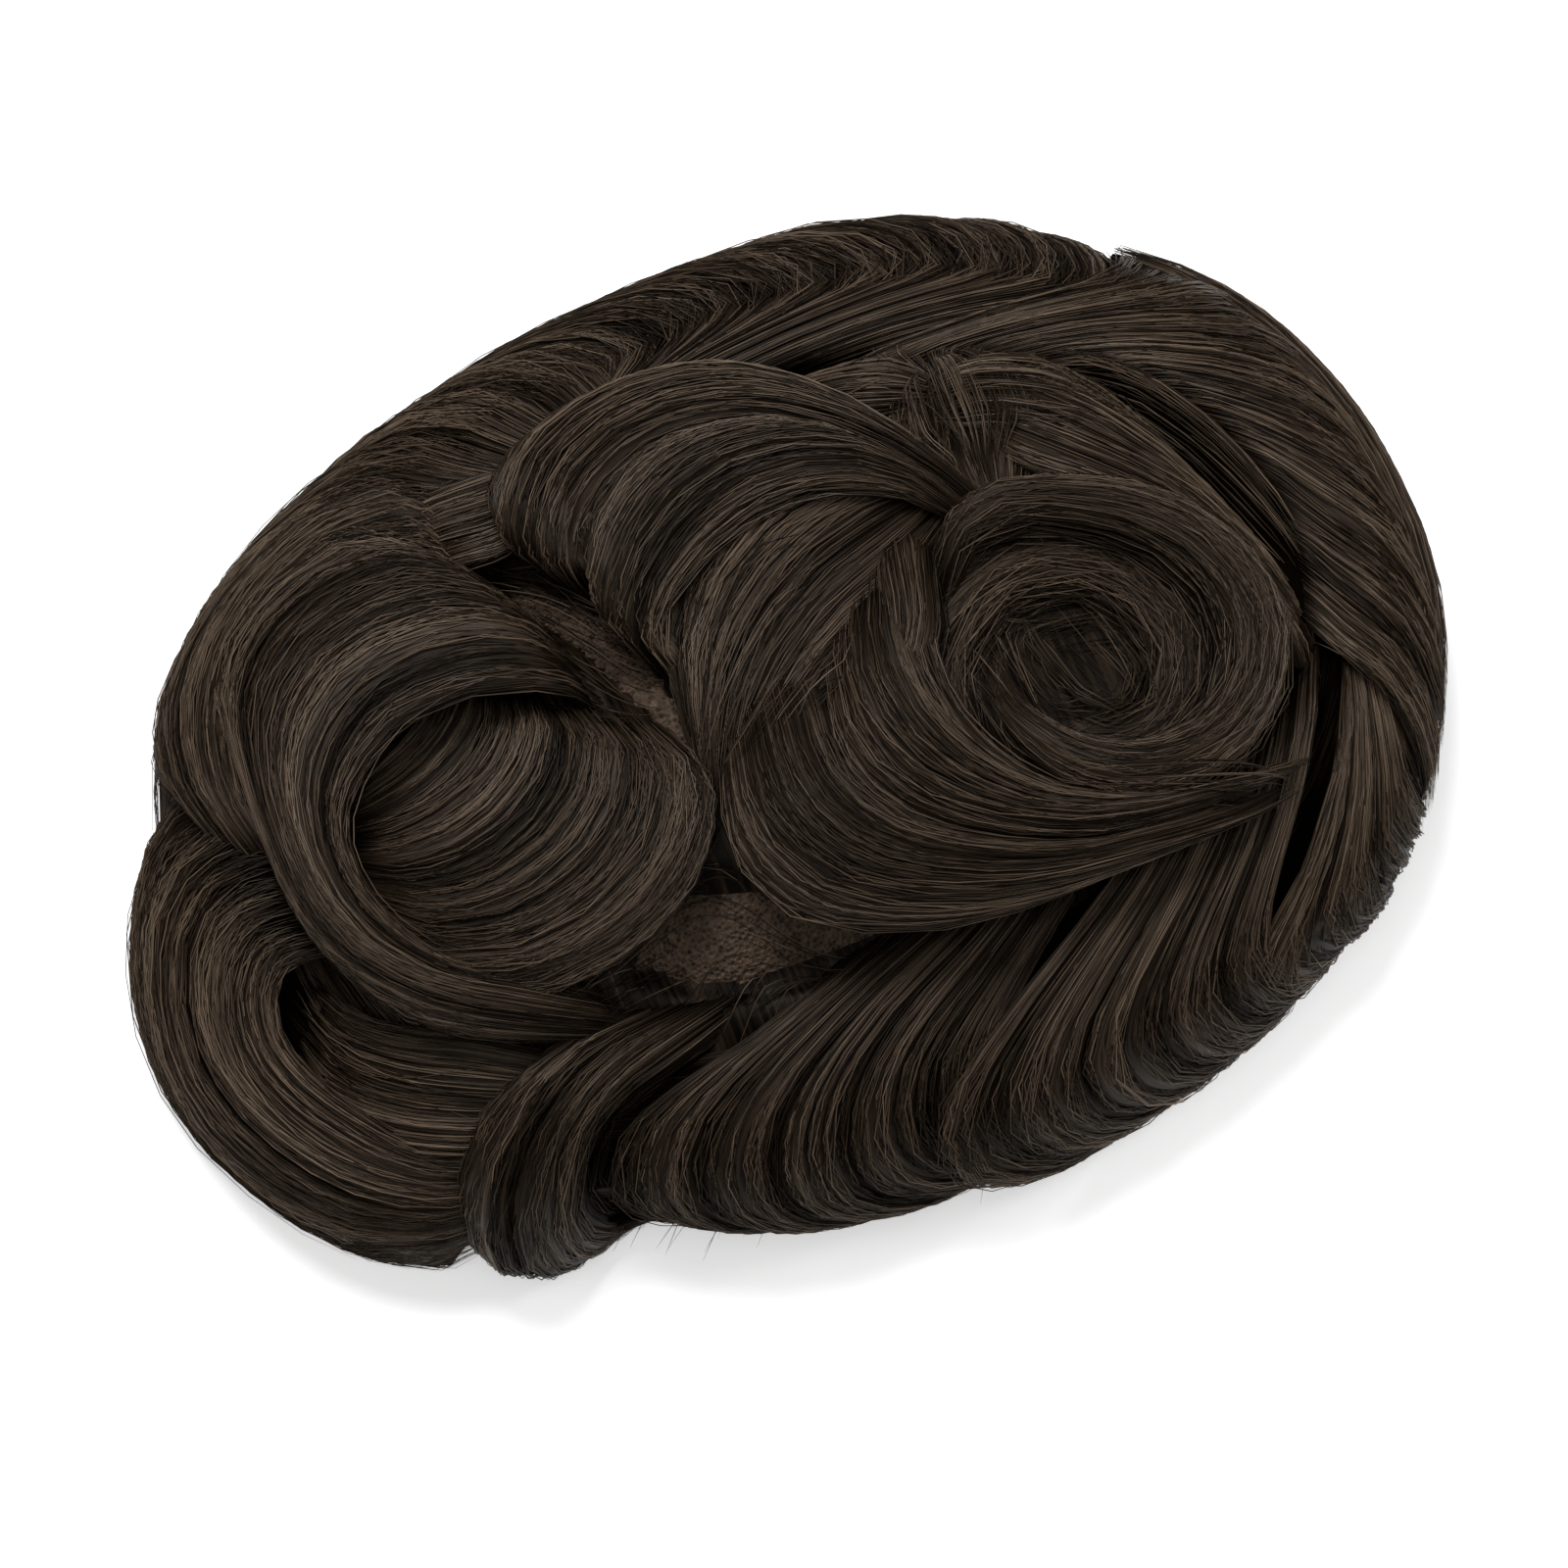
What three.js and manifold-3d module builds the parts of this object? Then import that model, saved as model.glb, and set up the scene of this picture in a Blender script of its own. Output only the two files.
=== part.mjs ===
// A toupee: a thin domed base cap, with styled hair laid over it in separate sculpted locks.
// Millimetres, +Z up. -X is the front of the head, +X the back, -Y the near side. It stands on the cap's rim.
import * as THREE from "three";
import { mergeVertices } from "three/addons/utils/BufferGeometryUtils.js";
import Module from "manifold-3d";

const wasm = await Module();
wasm.setup();

// Driving dimensions, in millimetres.
const capLength = 214;
const capWidth = 142;
const capRise = 52;
const capWall = 1.4;
const rimLip = 3; // upright lip round the cap's rim, which it stands on
const rootDepth = 3.6; // the short under-hair that lies against the cap
const rootDrop = 1.5; // height of its lower edge above the ground
const hairLoft = 14; // from the cap's crown up to the hair's crown
const hairRim = 18; // height at which the hair stands out furthest
const rollReach = 24; // how far the rim rolls stand out from the cap
const rollHeight = 41; // crest of the rim rolls
const rollDepth = 6.5;
const bandDepth = 13; // thickness of the locks that lie on top
const bedDepth = 12; // thickness of the locks that lie against the roots
const edgeDrop = 4; // how far a lock's edges round off below its surface
const swirlRadius = 35;
const clearance = 0.4;

// Shape of the plan outline and of the dome's profile: 2 is an ellipse, more is squarer.
const outlinePower = 2.2;

// How finely the solids are faceted.
const capSides = 36;
const capRings = 6;
const bandSteps = 11; // along a lock's strands
const bandColumns = 6; // across a lock
const rollSteps = 8;
const rollColumns = 6;

const hairColour = 0x2c251f;
const capColour = 0x4a3a2c;

// Where the bare cap shows through the roots: rows along the middle of each patch, with X and Y as shares of
// the cap's half-length and half-width, and half the patch's width in millimetres.
const PATCH_COLUMNS = ["x", "y", "halfWidth"];
const PATCHES = [
  [
    [-0.44, 0.76, 2],
    [-0.38, 0.58, 4],
    [-0.32, 0.33, 4],
    [-0.27, 0.1, 3],
    [-0.24, -0.04, 1],
  ],
  [
    [-0.47, -0.52, 3],
    [-0.37, -0.56, 8],
    [-0.26, -0.58, 8],
    [-0.12, -0.65, 3],
  ],
];

// Each row is one section across a lock, from its root to its tip. X and Y are shares of the cap's half-length
// and half-width. A rise of 0 lies on the hair's dome, and one of -1 lies a hair loft lower.
const BAND_COLUMNS = ["outerX", "outerY", "innerX", "innerY", "outerRise", "innerRise"];
const BANDS = [
  {
    name: "forelock",
    depth: bandDepth,
    bulge: 0.35,
    sections: [
      [-0.47, 0.6, -0.29, -0.04, -0.6, -0.6],
      [-0.52, 0.9, -0.36, 0.17, -0.15, -0.2],
      [-0.64, 1.03, -0.48, 0.27, -0.1, 0.15],
      [-0.82, 0.96, -0.65, 0.3, -0.1, 0.35],
      [-0.94, 0.76, -0.77, 0.22, 0.0, 0.5],
      [-0.965, 0.46, -0.845, 0.1, 0.15, 0.55],
      [-0.985, 0.06, -0.86, -0.05, 0.3, 0.5],
      [-0.96, -0.2, -0.83, -0.22, 0.25, 0.35],
      [-0.87, -0.45, -0.75, -0.38, 0.15, 0.15],
      [-0.69, -0.58, -0.6, -0.47, -0.15, -0.1],
    ],
  },
  {
    name: "top_wave_inner",
    depth: bandDepth,
    bulge: 0.3,
    sections: [
      [-0.27, 0.3, -0.2, -0.03, -0.6, -0.55],
      [-0.27, 0.5, -0.21, 0.21, 0.0, 0.0],
      [-0.2, 0.66, -0.14, 0.37, 0.15, 0.2],
      [-0.06, 0.76, -0.01, 0.46, 0.2, 0.3],
      [0.1, 0.73, 0.12, 0.46, 0.2, 0.35],
      [0.23, 0.6, 0.23, 0.41, 0.15, 0.3],
      [0.32, 0.41, 0.31, 0.31, 0.1, 0.15],
      [0.37, 0.27, 0.34, 0.22, -0.1, -0.1],
    ],
  },
  {
    name: "lower_wave_outer",
    depth: bandDepth,
    bulge: 0.35,
    sections: [
      [-0.16, -0.01, 0.05, 0.07, -0.7, -0.55],
      [-0.2, -0.19, 0.02, -0.12, -0.2, -0.2],
      [-0.23, -0.45, 0.0, -0.33, 0.1, 0.1],
      [-0.16, -0.65, 0.06, -0.52, 0.2, 0.2],
      [0.01, -0.78, 0.19, -0.66, 0.2, 0.2],
      [0.2, -0.83, 0.35, -0.75, 0.15, 0.1],
      [0.41, -0.83, 0.52, -0.77, 0.0, 0.0],
      [0.65, -0.82, 0.69, -0.77, -0.3, -0.3],
    ],
  },
  {
    name: "lower_wave_inner",
    depth: bandDepth,
    bulge: 0.3,
    sections: [
      [0.05, 0.07, 0.3, 0.15, -0.55, -0.4],
      [0.02, -0.12, 0.236, -0.05, -0.2, 0.1],
      [0.0, -0.33, 0.22, -0.22, 0.1, 0.15],
      [0.06, -0.52, 0.25, -0.4, 0.15, 0.0],
      [0.19, -0.66, 0.335, -0.57, 0.1, -0.1],
      [0.35, -0.75, 0.47, -0.68, 0.0, -0.2],
      [0.52, -0.77, 0.6, -0.72, -0.1, -0.3],
      [0.69, -0.77, 0.73, -0.7, -0.4, -0.5],
    ],
  },
  {
    name: "top_wave_outer",
    depth: bandDepth,
    bulge: 0.3,
    sections: [
      [-0.39, 0.68, -0.27, 0.3, -0.6, -0.6],
      [-0.35, 0.83, -0.27, 0.5, -0.2, -0.1],
      [-0.26, 0.95, -0.2, 0.66, -0.1, 0.05],
      [-0.1, 1.0, -0.06, 0.76, -0.1, 0.1],
      [0.08, 0.94, 0.1, 0.73, -0.1, 0.1],
      [0.22, 0.74, 0.23, 0.6, 0.0, 0.1],
      [0.35, 0.43, 0.32, 0.41, 0.0, 0.0],
      [0.385, 0.28, 0.37, 0.27, -0.2, -0.2],
    ],
  },
  {
    name: "crown_fan_back",
    depth: bedDepth,
    bulge: 0.2,
    sections: [
      [0.62, 0.8, 0.47, 0.54, -0.7, -0.55],
      [0.76, 0.59, 0.53, 0.33, -0.3, -0.15],
      [0.88, 0.3, 0.665, 0.16, -0.2, 0.05],
      [0.95, -0.02, 0.77, -0.1, -0.3, 0.05],
      [0.96, -0.33, 0.8, -0.36, -0.4, 0.0],
      [0.92, -0.55, 0.75, -0.59, -0.6, -0.1],
    ],
  },
  {
    name: "forelock_bowl",
    depth: bedDepth,
    bulge: -0.1,
    sections: [
      [-0.23, -0.11, -0.37, 0.14, -0.5, -0.45],
      [-0.3, -0.33, -0.43, 0.1, -0.15, -0.5],
      [-0.43, -0.48, -0.5, 0.05, -0.05, -0.6],
      [-0.61, -0.47, -0.58, 0.04, -0.05, -0.65],
      [-0.75, -0.33, -0.66, 0.08, -0.2, -0.65],
      [-0.83, -0.12, -0.7, 0.16, -0.5, -0.7],
    ],
  },
  {
    name: "mid_bowl",
    depth: bedDepth,
    bulge: 0.1,
    sections: [
      [0.25, 0.42, 0.33, 0.16, -0.5, -0.35],
      [0.12, 0.44, 0.24, 0.0, -0.5, -0.25],
      [-0.02, 0.36, 0.1, -0.07, -0.45, -0.2],
      [-0.14, 0.15, -0.05, -0.19, -0.4, -0.2],
      [-0.2, -0.12, -0.12, -0.28, -0.4, -0.3],
    ],
  },
  {
    name: "crown_fan_front",
    depth: bedDepth,
    bulge: 0.1,
    sections: [
      [0.57, 0.82, 0.49, 0.53, -0.7, -0.5],
      [0.42, 0.88, 0.43, 0.4, -0.5, -0.3],
      [0.22, 0.86, 0.35, 0.27, -0.5, -0.4],
    ],
  },
  {
    name: "front_roll",
    depth: bedDepth,
    bulge: 0.5,
    sections: [
      [-1.04, 0.68, -0.92, 0.36, -0.6, -0.35],
      [-1.19, 0.48, -0.98, 0.12, -0.8, -0.15],
      [-1.27, 0.26, -1.03, -0.07, -0.9, 0.0],
      [-1.3, -0.06, -1.08, -0.2, -0.95, 0.1],
      [-1.27, -0.36, -1.1, -0.33, -0.95, 0.2],
      [-1.19, -0.62, -1.06, -0.44, -0.95, 0.2],
      [-1.07, -0.82, -0.98, -0.54, -0.95, 0.1],
      [-0.93, -0.95, -0.88, -0.62, -0.95, 0.0],
      [-0.8, -1.0, -0.78, -0.68, -0.95, -0.1],
    ],
  },
  {
    name: "front_core",
    depth: bedDepth,
    bulge: 0.1,
    sections: [
      [-0.98, -0.1, -0.7, -0.5, -0.6, -0.5],
      [-1.04, -0.24, -0.78, -0.6, -0.5, -0.4],
      [-1.08, -0.38, -0.87, -0.66, -0.4, -0.3],
      [-1.05, -0.5, -0.93, -0.7, -0.4, -0.4],
    ],
  },
];

// Each row is one section of the whorl at the back: a heading in degrees, radii as shares of the whorl's
// radius, and rises as above.
const SWIRL_CENTRE = { x: 0.485, y: -0.29 };
const SWIRL_COLUMNS = ["heading", "outerRadius", "innerRadius", "outerRise", "innerRise"];
const SWIRLS = [
  {
    name: "swirl_ring",
    depth: bedDepth,
    bulge: 0.25,
    sections: [
      [150, 0.8, 0.6, -0.4, -0.4],
      [100, 1.02, 0.62, 0.05, -0.1],
      [45, 0.97, 0.58, 0.1, -0.2],
      [-15, 0.98, 0.56, 0.1, -0.25],
      [-70, 0.88, 0.52, 0.05, -0.3],
      [-125, 0.76, 0.47, 0.0, -0.35],
      [-175, 0.68, 0.42, -0.2, -0.5],
    ],
  },
  {
    name: "swirl_core",
    depth: bedDepth,
    bulge: 0,
    sections: [
      [165, 0.52, 0.2, -0.5, -0.9],
      [90, 0.56, 0.18, -0.3, -1.0],
      [20, 0.54, 0.16, -0.35, -1.05],
      [-50, 0.49, 0.14, -0.45, -1.05],
      [-120, 0.43, 0.12, -0.55, -1.05],
      [-175, 0.38, 0.1, -0.7, -1.05],
    ],
  },
];

// The rim rolls share one profile. Turn is a share of a roll's lean, out a share of its reach, and height a
// share of the rolls' crest.
const ROLL_COLUMNS = ["turn", "out", "height"];
const ROLL_PROFILE = [
  [1.0, -0.85, 0.93],
  [0.45, -0.35, 1.02],
  [0.14, 0.2, 1.0],
  [0.0, 0.78, 0.76],
  [0.0, 1.0, 0.42],
  [0.12, 0.86, 0.12],
  [0.35, 0.45, 0.1],
];

// Each row is one rim roll: where it runs round the rim in degrees, how far its strands lean, and its reach at
// both ends and halfway as shares of the rolls' reach.
const ROLLS = [
  { name: "front_tail", from: 219, to: 238, lean: 22, reach: [0.85, 0.85, 0.66] },
  { name: "side_front_roll", from: 238, to: 270, lean: 24, reach: [0.74, 0.8, 0.9] },
  { name: "side_mid_roll", from: 270, to: 299, lean: 20, reach: [0.9, 0.92, 1.0] },
  { name: "side_back_roll", from: 299, to: 338, lean: 18, reach: [1.02, 1.08, 0.86] },
  { name: "back_roll", from: 338, to: 374, lean: 20, reach: [0.9, 0.88, 0.94] },
  { name: "back_top_roll", from: 13, to: 41, lean: 20, reach: [0.96, 1.04, 1.16] },
  { name: "top_back_roll", from: 40, to: 67, lean: 16, reach: [1.16, 1.24, 1.3] },
  { name: "top_mid_roll", from: 66, to: 92, lean: 14, reach: [1.3, 1.3, 1.2] },
  { name: "top_front_roll", from: 91, to: 118, lean: -14, reach: [1.2, 1.16, 1.08] },
  { name: "front_side_roll", from: 117, to: 162, lean: -14, reach: [1.08, 1.12, 1.08] },
];

const halfLength = capLength / 2;
const halfWidth = capWidth / 2;
const degrees = THREE.MathUtils.degToRad;

function rowsOf(columns, rows) {
  return rows.map((row) => Object.fromEntries(columns.map((column, i) => [column, row[i]])));
}

function signedPower(value, power) {
  return Math.sign(value) * Math.abs(value) ** power;
}

// How far out a plan point lies: 1 is on the outline with these half-sizes.
function outlineShare(x, y, halfX, halfY) {
  return (Math.abs(x / halfX) ** outlinePower + Math.abs(y / halfY) ** outlinePower) ** (1 / outlinePower);
}

function domeHeight(share, rise) {
  return rise * Math.sqrt(Math.max(0, 1 - share ** outlinePower));
}

function hairHeight(x, y) {
  const share = outlineShare(x, y, halfLength + rollReach, halfWidth + rollReach);
  return hairRim + domeHeight(share, capRise + hairLoft - hairRim);
}

// A point on the cap's outline, and the plan direction that faces outwards there.
function capEdge(angle) {
  const power = 2 / outlinePower;
  const c = signedPower(Math.cos(angle), power);
  const s = signedPower(Math.sin(angle), power);
  const outX = signedPower(c, outlinePower - 1) / halfLength;
  const outY = signedPower(s, outlinePower - 1) / halfWidth;
  const length = Math.hypot(outX, outY);
  return { x: halfLength * c, y: halfWidth * s, outX: outX / length, outY: outY / length };
}

// A smooth value through evenly spaced knots, at a share from 0 to 1 of the way.
function through(values, share) {
  const last = values.length - 1;
  const place = THREE.MathUtils.clamp(share, 0, 1) * last;
  const i = Math.min(Math.floor(place), last - 1);
  const t = place - i;
  const p1 = values[i];
  const p2 = values[i + 1];
  const p0 = i > 0 ? values[i - 1] : 2 * p1 - p2;
  const p3 = i + 2 <= last ? values[i + 2] : 2 * p2 - p1;
  return 0.5 * (2 * p1 + (p2 - p0) * t + (2 * p0 - 5 * p1 + 4 * p2 - p3) * t ** 2 + (3 * p1 - p0 - 3 * p2 + p3) * t ** 3);
}

function sectionAt(sections, along) {
  const names = Object.keys(sections[0]);
  return Object.fromEntries(names.map((name) => [name, through(sections.map((row) => row[name]), along)]));
}

// A band's outer surface: across runs from 0 at its outer edge to 1 at its inner edge, along from root to tip.
function bandSurface(sections) {
  return (across, along) => {
    const at = sectionAt(sections, along);
    const x = halfLength * THREE.MathUtils.lerp(at.outerX, at.innerX, across);
    const y = halfWidth * THREE.MathUtils.lerp(at.outerY, at.innerY, across);
    const rise = THREE.MathUtils.lerp(at.outerRise, at.innerRise, across);
    return new THREE.Vector3(x, y, hairHeight(x, y) + hairLoft * rise);
  };
}

function swirlSurface(sections) {
  return (across, along) => {
    const at = sectionAt(sections, along);
    const radius = swirlRadius * THREE.MathUtils.lerp(at.outerRadius, at.innerRadius, across);
    const x = halfLength * SWIRL_CENTRE.x + radius * Math.cos(degrees(at.heading));
    const y = halfWidth * SWIRL_CENTRE.y + radius * Math.sin(degrees(at.heading));
    const rise = THREE.MathUtils.lerp(at.outerRise, at.innerRise, across);
    return new THREE.Vector3(x, y, hairHeight(x, y) + hairLoft * rise);
  };
}

function rollSurface(roll) {
  const profile = rowsOf(ROLL_COLUMNS, ROLL_PROFILE);
  return (across, along) => {
    const at = sectionAt(profile, along);
    const edge = capEdge(degrees(THREE.MathUtils.lerp(roll.to, roll.from, across) + roll.lean * at.turn));
    const reach = rollReach * through(roll.reach, 1 - across);
    const out = reach * at.out;
    return new THREE.Vector3(edge.x + edge.outX * out, edge.y + edge.outY * out, rollHeight * at.height);
  };
}

// The outward normal of a surface, which is up where the hair lies on top of the head.
function normalAt(surface, across, along, facing) {
  const step = 0.01;
  const a = surface(Math.min(across + step, 1), along).sub(surface(Math.max(across - step, 0), along));
  const b = surface(across, Math.min(along + step, 1)).sub(surface(across, Math.max(along - step, 0)));
  return a.cross(b).normalize().multiplyScalar(facing);
}

// A closed lens-shaped solid under a surface, grown by a margin on every side.
function lockGeometry(lock, margin) {
  const { surface, steps, columns, depth, bulge, facing } = lock;
  const positions = [];
  const indices = [];
  const ringSize = 2 * columns;
  const lengthStep = 0.1;
  for (let i = 0; i <= steps; i++) {
    const along = i / steps;
    const taper = 0.35 + 0.65 * Math.min(1, 4 * along, 4 * (1 - along)) ** 0.7;
    for (let k = 0; k < ringSize; k++) {
      const above = k <= columns;
      const column = above ? k : ringSize - k;
      const across = 0.5 - 0.5 * Math.cos((Math.PI * column) / columns);
      const fullness = Math.sin(Math.PI * across) ** 0.6;
      const point = surface(across, along);
      const normal = normalAt(surface, across, along, facing);
      const crown = bulge * hairLoft * Math.sin(Math.PI * across) * taper;
      const edge = edgeDrop * taper;
      const upper = crown - edge + edge * fullness + margin;
      const lower = crown - edge - (depth * taper - edge) * fullness - margin;
      point.addScaledVector(normal, column % columns === 0 ? crown - edge : above ? upper : lower);
      if (column === 0 || column === columns) {
        const inward = surface(column === 0 ? lengthStep : 1 - lengthStep, along).sub(surface(column === 0 ? 0 : 1, along));
        point.addScaledVector(inward.normalize(), -margin);
      }
      if (i === 0 || i === steps) {
        const inward = surface(across, i === 0 ? lengthStep : 1 - lengthStep).sub(surface(across, i === 0 ? 0 : 1));
        point.addScaledVector(inward.normalize(), -margin);
      }
      positions.push(point.x, point.y, point.z);
    }
  }
  for (let i = 0; i < steps; i++) {
    for (let k = 0; k < ringSize; k++) {
      const a = i * ringSize + k;
      const b = i * ringSize + ((k + 1) % ringSize);
      indices.push(a, b, b + ringSize, a, b + ringSize, a + ringSize);
    }
  }
  for (const [start, flip] of [[0, true], [steps * ringSize, false]]) {
    for (let k = 0; k < columns; k++) {
      const [a, b] = [start + k, start + k + 1];
      const [c, d] = [start + ((ringSize - k) % ringSize), start + ringSize - k - 1];
      const faces = k === 0 ? [[a, b, d]] : k === columns - 1 ? [[a, b, c]] : [[a, b, d], [a, d, c]];
      for (const face of faces) indices.push(...(flip ? face.reverse() : face));
    }
  }
  const geometry = new THREE.BufferGeometry();
  geometry.setAttribute("position", new THREE.Float32BufferAttribute(positions, 3));
  geometry.setIndex(indices);
  return geometry;
}

function solidOf(geometry) {
  const plain = geometry.clone();
  plain.deleteAttribute("normal");
  plain.deleteAttribute("uv");
  const merged = mergeVertices(plain, 1e-4);
  const triVerts = new Uint32Array(merged.index.array);
  const vertProperties = merged.attributes.position.array;
  const solid = new wasm.Manifold(new wasm.Mesh({ numProp: 3, vertProperties, triVerts }));
  if (solid.volume() >= 0) return solid;
  for (let i = 0; i < triVerts.length; i += 3) {
    [triVerts[i + 1], triVerts[i + 2]] = [triVerts[i + 2], triVerts[i + 1]];
  }
  return new wasm.Manifold(new wasm.Mesh({ numProp: 3, vertProperties, triVerts }));
}

function geometryOf(solid) {
  const mesh = solid.getMesh();
  const positions = new Float32Array(mesh.numVert * 3);
  for (let i = 0; i < mesh.numVert; i++) {
    positions.set(mesh.vertProperties.subarray(i * mesh.numProp, i * mesh.numProp + 3), i * 3);
  }
  const geometry = new THREE.BufferGeometry();
  geometry.setAttribute("position", new THREE.BufferAttribute(positions, 3));
  geometry.setIndex(new THREE.BufferAttribute(new Uint32Array(mesh.triVerts), 1));
  geometry.computeVertexNormals();
  return geometry;
}

function largestBody(solid) {
  const bodies = solid.decompose();
  return bodies.reduce((best, body) => (body.volume() > best.volume() ? body : best));
}

// A dome over the cap's outline, grown outwards by an offset, down to an underside at a floor height.
function domeSolid(offset, floor) {
  const positions = [];
  const indices = [];
  const rise = capRise - rimLip + offset;
  for (let ring = 0; ring < capRings; ring++) {
    const share = Math.sin((0.5 * Math.PI * (capRings - ring)) / capRings);
    for (let k = 0; k < capSides; k++) {
      const edge = capEdge((2 * Math.PI * k) / capSides);
      const x = (edge.x + edge.outX * offset) * share;
      const y = (edge.y + edge.outY * offset) * share;
      positions.push(x, y, rimLip + (ring === 0 ? 0 : domeHeight(share, rise)));
    }
  }
  for (let k = 0; k < capSides; k++) {
    const edge = capEdge((2 * Math.PI * k) / capSides);
    positions.push(edge.x + edge.outX * offset, edge.y + edge.outY * offset, floor);
  }
  const lowest = capRings * capSides;
  const top = lowest + capSides;
  positions.push(0, 0, rimLip + rise, 0, 0, floor);
  for (let k = 0; k < capSides; k++) {
    const next = (k + 1) % capSides;
    for (let ring = 0; ring < capRings - 1; ring++) {
      const [a, b] = [ring * capSides + k, ring * capSides + next];
      indices.push(a, b, b + capSides, a, b + capSides, a + capSides);
    }
    indices.push((capRings - 1) * capSides + k, (capRings - 1) * capSides + next, top);
    indices.push(lowest + k, lowest + next, next, lowest + k, next, k);
    indices.push(lowest + next, lowest + k, top + 1);
  }
  const geometry = new THREE.BufferGeometry();
  geometry.setAttribute("position", new THREE.Float32BufferAttribute(positions, 3));
  geometry.setIndex(indices);
  return solidOf(geometry);
}

function makeCap() {
  return domeSolid(0, 0).subtract(domeSolid(-capWall, -rimLip));
}

// A prism over one bare patch, which opens the roots down to the cap.
function patchSolid(rows) {
  const middles = rows.map((row) => new THREE.Vector2(row.x * halfLength, row.y * halfWidth));
  const sides = [[], []];
  middles.forEach((middle, i) => {
    const before = middles[Math.max(i - 1, 0)];
    const after = middles[Math.min(i + 1, middles.length - 1)];
    const across = after.clone().sub(before).normalize().rotateAround(new THREE.Vector2(), Math.PI / 2);
    sides[0].push(middle.clone().addScaledVector(across, rows[i].halfWidth));
    sides[1].unshift(middle.clone().addScaledVector(across, -rows[i].halfWidth));
  });
  const outline = new THREE.Shape([...sides[0], ...sides[1]]);
  return solidOf(new THREE.ExtrudeGeometry(outline, { depth: 2 * capRise, bevelEnabled: false }));
}

function makeRoots() {
  const shell = domeSolid(clearance + rootDepth, rootDrop).subtract(domeSolid(clearance, -rimLip));
  return PATCHES.reduce((solid, rows) => solid.subtract(patchSolid(rowsOf(PATCH_COLUMNS, rows))), shell);
}

// What no lock may enter: the cap and its roots, the hollow, and the ground that the rolls stand clear of.
function makeKeepOut() {
  const size = 2 * (capLength + capWidth);
  const head = domeSolid(2 * clearance + rootDepth, -rimLip);
  const ground = solidOf(new THREE.BoxGeometry(size, size, capRise).translate(0, 0, rootDrop - capRise / 2));
  return head.add(ground);
}

function makeLocks() {
  const bands = BANDS.map((band) => ({
    ...band,
    surface: bandSurface(rowsOf(BAND_COLUMNS, band.sections)),
    steps: bandSteps,
    columns: bandColumns,
  }));
  const swirls = SWIRLS.map((swirl) => ({
    ...swirl,
    surface: swirlSurface(rowsOf(SWIRL_COLUMNS, swirl.sections)),
    steps: bandSteps,
    columns: bandColumns,
  }));
  const rolls = ROLLS.map((roll) => ({
    ...roll,
    depth: rollDepth,
    bulge: 0.1,
    surface: rollSurface(roll),
    steps: rollSteps,
    columns: rollColumns,
  }));
  const fronts = bands.splice(bands.findIndex((band) => band.name === "crown_fan_back"));
  const locks = [...bands, ...swirls, ...fronts, ...rolls];
  for (const lock of locks) {
    const up = normalAt(lock.surface, 0.5, 0.3, 1);
    lock.facing = up.z < 0 ? -1 : 1;
  }
  return locks;
}

const hairpiece = new THREE.Group();

function addPiece(name, solid, colour, roughness) {
  const material = new THREE.MeshStandardMaterial({ color: colour, roughness, metalness: 0 });
  const mesh = new THREE.Mesh(geometryOf(solid), material);
  mesh.name = name;
  hairpiece.add(mesh);
}

addPiece("base_cap", makeCap(), capColour, 0.6);
addPiece("hair_roots", makeRoots(), hairColour, 0.5);

let taken = makeKeepOut();
for (const lock of makeLocks()) {
  const body = largestBody(solidOf(lockGeometry(lock, 0)).subtract(taken));
  addPiece(lock.name, body, hairColour, 0.45);
  taken = taken.add(solidOf(lockGeometry(lock, clearance)));
}

// The origin is under the middle of the whole piece, on the surface that it stands on.
const bounds = new THREE.Box3().setFromObject(hairpiece);
const middle = bounds.getCenter(new THREE.Vector3());
hairpiece.position.set(-middle.x, -middle.y, -bounds.min.z);

export default hairpiece;
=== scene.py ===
"""The looks of a toupee hairpiece: a knotted base cap under locks that are dressed with strands of hair."""

import math

import bpy
import numpy as np
from mathutils import Matrix, Vector


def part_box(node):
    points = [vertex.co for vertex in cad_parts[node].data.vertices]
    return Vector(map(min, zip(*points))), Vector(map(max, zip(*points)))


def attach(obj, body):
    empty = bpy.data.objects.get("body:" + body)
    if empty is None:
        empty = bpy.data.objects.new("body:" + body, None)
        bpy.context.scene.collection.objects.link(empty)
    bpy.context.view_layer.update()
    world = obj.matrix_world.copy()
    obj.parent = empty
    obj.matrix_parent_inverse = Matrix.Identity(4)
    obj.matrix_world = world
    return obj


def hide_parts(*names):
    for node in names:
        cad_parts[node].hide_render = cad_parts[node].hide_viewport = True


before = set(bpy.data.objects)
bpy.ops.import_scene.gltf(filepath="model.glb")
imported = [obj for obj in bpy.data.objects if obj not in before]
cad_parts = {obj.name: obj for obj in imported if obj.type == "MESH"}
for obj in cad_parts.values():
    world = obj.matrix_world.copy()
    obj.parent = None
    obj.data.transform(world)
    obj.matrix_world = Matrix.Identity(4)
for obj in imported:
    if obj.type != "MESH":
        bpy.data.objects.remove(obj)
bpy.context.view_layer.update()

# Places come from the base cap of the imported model. Other sizes are in metres.
MM = 0.001
CAP_LOW, CAP_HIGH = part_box("base_cap")
CAP_CENTRE = np.array([(CAP_LOW.x + CAP_HIGH.x) / 2, (CAP_LOW.y + CAP_HIGH.y) / 2, 0.0])
HALF_LENGTH = (CAP_HIGH.x - CAP_LOW.x) / 2
HALF_WIDTH = (CAP_HIGH.y - CAP_LOW.y) / 2
CAP_RISE = CAP_HIGH.z
CAP_WALL = 1.4 * MM
RIM_LIP = 3 * MM
ROOT_DEPTH = 3.6 * MM
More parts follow.
